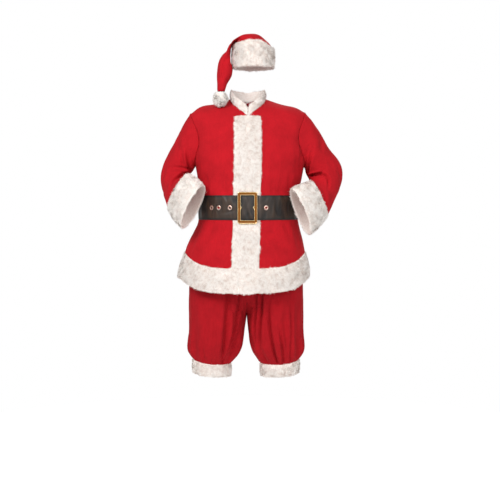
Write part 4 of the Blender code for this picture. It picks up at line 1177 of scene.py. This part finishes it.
class SUIT_OT_brim(bpy.types.Operator):
    """Lay the plush brim round the hat and tie on the pompom"""

    bl_idname = "suit.brim"
    bl_label = "Hat fur and pompom"

    def execute(self, context):
        fur_piece("hat_brim_fur")
        low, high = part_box("hat_pompom")
        middle, radius = (low + high) / 2, min(high - low) / 2
        ball = bmesh.new()
        bmesh.ops.create_icosphere(ball, subdivisions=4, radius=radius * 0.74)
        bmesh.ops.translate(ball, verts=ball.verts, vec=middle)
        mesh = mesh_from(ball, "pompom_core")
        mesh.shade_smooth()
        points, normals = arrays(mesh)
        points += normals * (ripple(points, 0.014, 101) * 1.6 * MM)[:, None]
        put(mesh, points)
        ground = finish("Acrylic plush fur, backing", plush_ground)
        core = new_piece("pompom_core", mesh, "white_fur", ground, "hat_pompom")
        faces, _ = triangles_of(mesh)
        placed, _ = arrays(mesh)
        corners, shares = roots_over(placed, faces, 12000, 103)
        roots = (points[corners] * shares[:, :, None]).sum(1)
        tall = np.full(len(roots), radius * 0.24)
        # The pompom's tone is lifted by 0.9: painted light on a ball that its own dense locks shade.
        pile_on("pompom_pile", roots, unit(roots - np.array(middle)), tall, 107, 0.45, 0.1, 0.9)
        return {"FINISHED"}


class SUIT_OT_belt(bpy.types.Operator):
    """Stretch the leatherette belt round the jacket and set its eyelets"""

    bl_idname = "suit.belt"
    bl_label = "Belt and eyelets"

    def execute(self, context):
        belt = context.scene.suit.belt
        count = 360
        foot, top = strap_line(count)
        # The strap's section: the share of its thickness out from its inner face, and the height, from
        # its foot up the inner face and down the outer one, with a stitched groove beside each edge.
        edge, thick = 1.3 * MM, belt.strap
        low, high = BELT_Z
        section = [(0.15, low + edge * 0.6), (0.0, low + edge * 1.6)]
        section += [(0.0, low + (high - low) * k / 6) for k in range(1, 6)]
        section += [(0.0, high - edge * 1.6), (0.15, high - edge * 0.6), (0.5, high)]
        section += [(0.85, high - edge * 0.6), (1.0, high - edge * 1.6)]
        section += [(1.0, high - 3 * MM), (0.84, high - 4.4 * MM), (1.0, high - 6 * MM)]
        section += [(1.0, high - (high - low) * k / 20) for k in range(2, 19)]
        section += [(1.0, low + 6 * MM), (0.84, low + 4.4 * MM), (1.0, low + 3 * MM)]
        section += [(1.0, low + edge * 1.6), (0.85, low + edge * 0.6), (0.5, low)]

        def place(share, row):
            out, height = section[row]
            mix = (height - low) / (high - low)
            k = int(round(share * count)) % count
            reach = foot[k] * (1 - mix) + top[k] * mix
            x, y = math.cos(math.tau * share), math.sin(math.tau * share)
            bulge = strap_bulge(STRAP_MIDDLE[0] + reach * x, height, mix) if y < 0 else 0.0
            # The face bellies out between the turned edges.
            reach += out * thick * (1 - 0.40 * (2 * mix - 1) ** 4)
            reach += bulge if out > 0.4 else max(bulge, 0) / 2
            return Vector((STRAP_MIDDLE[0] + reach * x, STRAP_MIDDLE[1] + reach * y, height))

        mesh = ringed("belt_leather", count, len(section), place)
        leather = finish("PVC leatherette, embossed grain", leatherette)
        strap = new_piece("belt_leather", mesh, "black_leatherette", leather, "belt_strap")
        hole, rim = belt.hole, belt.eyelet
        for node in sorted(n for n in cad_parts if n.startswith("belt_eyelet")):
            points = np.array([v.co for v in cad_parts[node].data.vertices])
            middle = (points.max(0) + points.min(0)) / 2
            _, _, axes = np.linalg.svd(points - points.mean(0))
            normal = axes[2] * (-1 if axes[2][1] > 0 else 1)
            turned = np.stack([axes[0], np.cross(normal, axes[0]), normal], axis=1)
            depth = np.ptp((points - middle) @ normal)
            punched(strap, middle, turned, hole + 0.5 * MM)
            # The rim: a rolled collar through the hole and a domed flange on the face.
            flange = (
                (hole, -depth / 2), (hole, depth * 0.20), (hole + 0.4 * MM, depth * 0.42),
                (hole + 1.3 * MM, depth / 2), (hole + 2.4 * MM, depth * 0.47), (rim - 1.2 * MM, depth * 0.30),
                (rim - 0.3 * MM, depth * 0.10), (rim, -depth * 0.12), (rim - 0.4 * MM, -depth * 0.30),
                (hole + 1.6 * MM, -depth * 0.34), (hole + 1.0 * MM, -depth / 2),
            )

            def seat(share, row, middle=middle, turned=turned, flange=flange):
                radius, lift = flange[row]
                turn = math.tau * share
                return Vector(middle + turned @ (radius * math.cos(turn), radius * math.sin(turn), lift))

            brass = finish("Rolled brass, pale wash", pale_brass)
            mesh = ringed(node + "_rim", 48, len(flange), seat)
            new_piece(node + "_rim", mesh, "antique_gold", brass, node)
        strap.data.shade_smooth()
        declare(strap, "belt_strap")
        return {"FINISHED"}


class SUIT_OT_buckle(bpy.types.Operator):
    """Cast the buckle: a beaded outer edge, a sunk channel and an inner edge with two small points"""

    bl_idname = "suit.buckle"
    bl_label = "Buckle"

    def execute(self, context):
        belt = context.scene.suit.belt
        low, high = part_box("belt_buckle")
        middle = (low + high) / 2
        half_wide, half_high, thick = (high.x - low.x) / 2, (high.z - low.z) / 2, high.y - low.y
        scale = belt.bar / BUCKLE_BAR
        arc, across, up = 14, 60, 152
        count = 4 * arc + 2 * across + 2 * up

        def outline(share, inset):
            """A rounded rectangle, its points kept in step from row to row."""
            a, b, r = half_wide - inset, half_high - inset, max(BUCKLE_CORNER - inset * 0.8, 0.8 * MM)
            k = share * count
            for steps, start, end in (
                (up, (a, -b + r), (a, b - r)), (arc, (a - r, b - r), 0.0), (across, (a - r, b), (-a + r, b)),
                (arc, (-a + r, b - r), 90.0), (up, (-a, b - r), (-a, -b + r)), (arc, (-a + r, -b + r), 180.0),
                (across, (-a + r, -b), (a - r, -b)), (arc, (a - r, -b + r), 270.0),
            ):
                if k < steps:
                    break
                k -= steps
            t = k / steps
            if isinstance(end, float):
                turn = math.radians(end + 90 * t)
                return start[0] + r * math.cos(turn), start[1] + r * math.sin(turn)
            return start[0] + (end[0] - start[0]) * t, start[1] + (end[1] - start[1]) * t

        def place(share, row):
            inset, rise, _ = BUCKLE_SECTION[row]
            inset = inset * MM * scale
            x, z = outline(share, inset)
            # The small points stand in from the middles of the side bars.
            if inset > 9 * MM * scale:
                near = max(0.0, 1 - abs(z) / (8 * MM)) * min(1.0, (inset - 9 * MM * scale) / (4 * MM))
                x -= math.copysign(belt.point * near, x) if abs(x) > half_wide / 2 else 0.0
            # The beads of the lower edge are 9 mm apart.
            if inset < 2 * MM and z < -half_high + 3 * MM and abs(x) < half_wide - 5 * MM:
                z -= belt.scallop * abs(math.sin(math.pi * x / (9 * MM))) * (1 - inset / (3 * MM))
            return Vector((middle.x + x, high.y - rise * thick, middle.z + z))

        mesh = ringed("buckle_frame", count, len(BUCKLE_SECTION), place)
        points, _ = arrays(mesh)
        share = (high.y - points[:, 1]) / thick
        where = {rise: worn for _, rise, worn in BUCKLE_SECTION}
        keys = sorted(where)
        worn = np.where(share < 0.3, 0.5, np.interp(share, keys, [where[k] for k in keys]))
        mesh.attributes.new("worn", "FLOAT", "POINT").data.foreach_set("value", worn.astype(np.float32))
        gold = finish("Die-cast zinc, antique gold plate", antique_gold)
        new_piece("buckle_frame", mesh, "antique_gold", gold, "belt_buckle")
        return {"FINISHED"}


class SUIT_OT_stage(bpy.types.Operator):
    """Set the pale floor, the soft light and the camera"""

    bl_idname = "suit.stage"
    bl_label = "Floor, light and camera"

    def execute(self, context):
        scene = context.scene
        stage = scene.suit.stage
        disc = bmesh.new()
        bmesh.ops.create_circle(disc, cap_ends=True, segments=96, radius=FLOOR_RADIUS)
        bmesh.ops.translate(disc, verts=disc.verts, vec=(0, 0, stage.floor))
        floor = linked("floor", mesh_from(disc, "floor"))
        floor.data.materials.append(finish("Matt white paper sweep", paper))
        scene.world = bpy.data.worlds.new("studio")
        scene.world.use_nodes = True
        tree = scene.world.node_tree
        tree.nodes.clear()
        # A white background over softer light: what the camera sees of it is brighter than what it gives.
        seen = add(tree, "LightPath").outputs["Is Camera Ray"]
        strength = add(tree, "MapRange", {"Value": seen, "To Min": 0.50, "To Max": 1.0})
        sky = add(tree, "Background", {"Color": (1, 1, 1, 1), "Strength": strength})
        add(tree, "OutputWorld", {"Surface": sky})
        for name, place, size, power in LIGHTS:
            light = bpy.data.lights.new(name, "AREA")
            light.energy, light.size, light.shape = power, size, "DISK"
            aimed(linked(name, light), place, LIT)
        eye = bpy.data.cameras.new("camera")
        eye.lens = stage.lens
        scene.camera = linked("camera", eye)
        aimed(scene.camera, stage.eye, stage.aim)
        scene.view_settings.view_transform = "Standard"
        return {"FINISHED"}


OPERATORS = (
    SUIT_OT_jacket, SUIT_OT_sleeves, SUIT_OT_trousers, SUIT_OT_hat, SUIT_OT_trim, SUIT_OT_knees, SUIT_OT_brim,
    SUIT_OT_belt, SUIT_OT_buckle, SUIT_OT_stage,
)


class SUIT_PT_panel(bpy.types.Panel):
    """The suit's pieces and settings"""

    bl_idname = "SUIT_PT_panel"
    bl_label = "Santa suit"
    bl_space_type = "VIEW_3D"
    bl_region_type = "UI"
    bl_category = "Suit"

    def draw(self, context):
        for operator in OPERATORS:
            self.layout.operator(operator.bl_idname)
        suit = context.scene.suit
        for group in (suit.cloth, suit.fur, suit.belt, suit.stage):
            box = self.layout.box()
            for key in group.__annotations__:
                box.prop(group, key)


CLASSES = (SuitCloth, SuitFur, SuitBelt, SuitStage, SuitSettings) + OPERATORS + (SUIT_PT_panel,)


def register():
    for item in CLASSES:
        bpy.utils.register_class(item)
    bpy.types.Scene.suit = PointerProperty(type=SuitSettings)


def unregister():
    del bpy.types.Scene.suit
    for item in reversed(CLASSES):
        bpy.utils.unregister_class(item)


def main():
    register()
    for operator in OPERATORS:
        family, name = operator.bl_idname.split(".")
        getattr(getattr(bpy.ops, family), name)()
    bpy.context.view_layer.update()


if __name__ == "__main__":
    main()
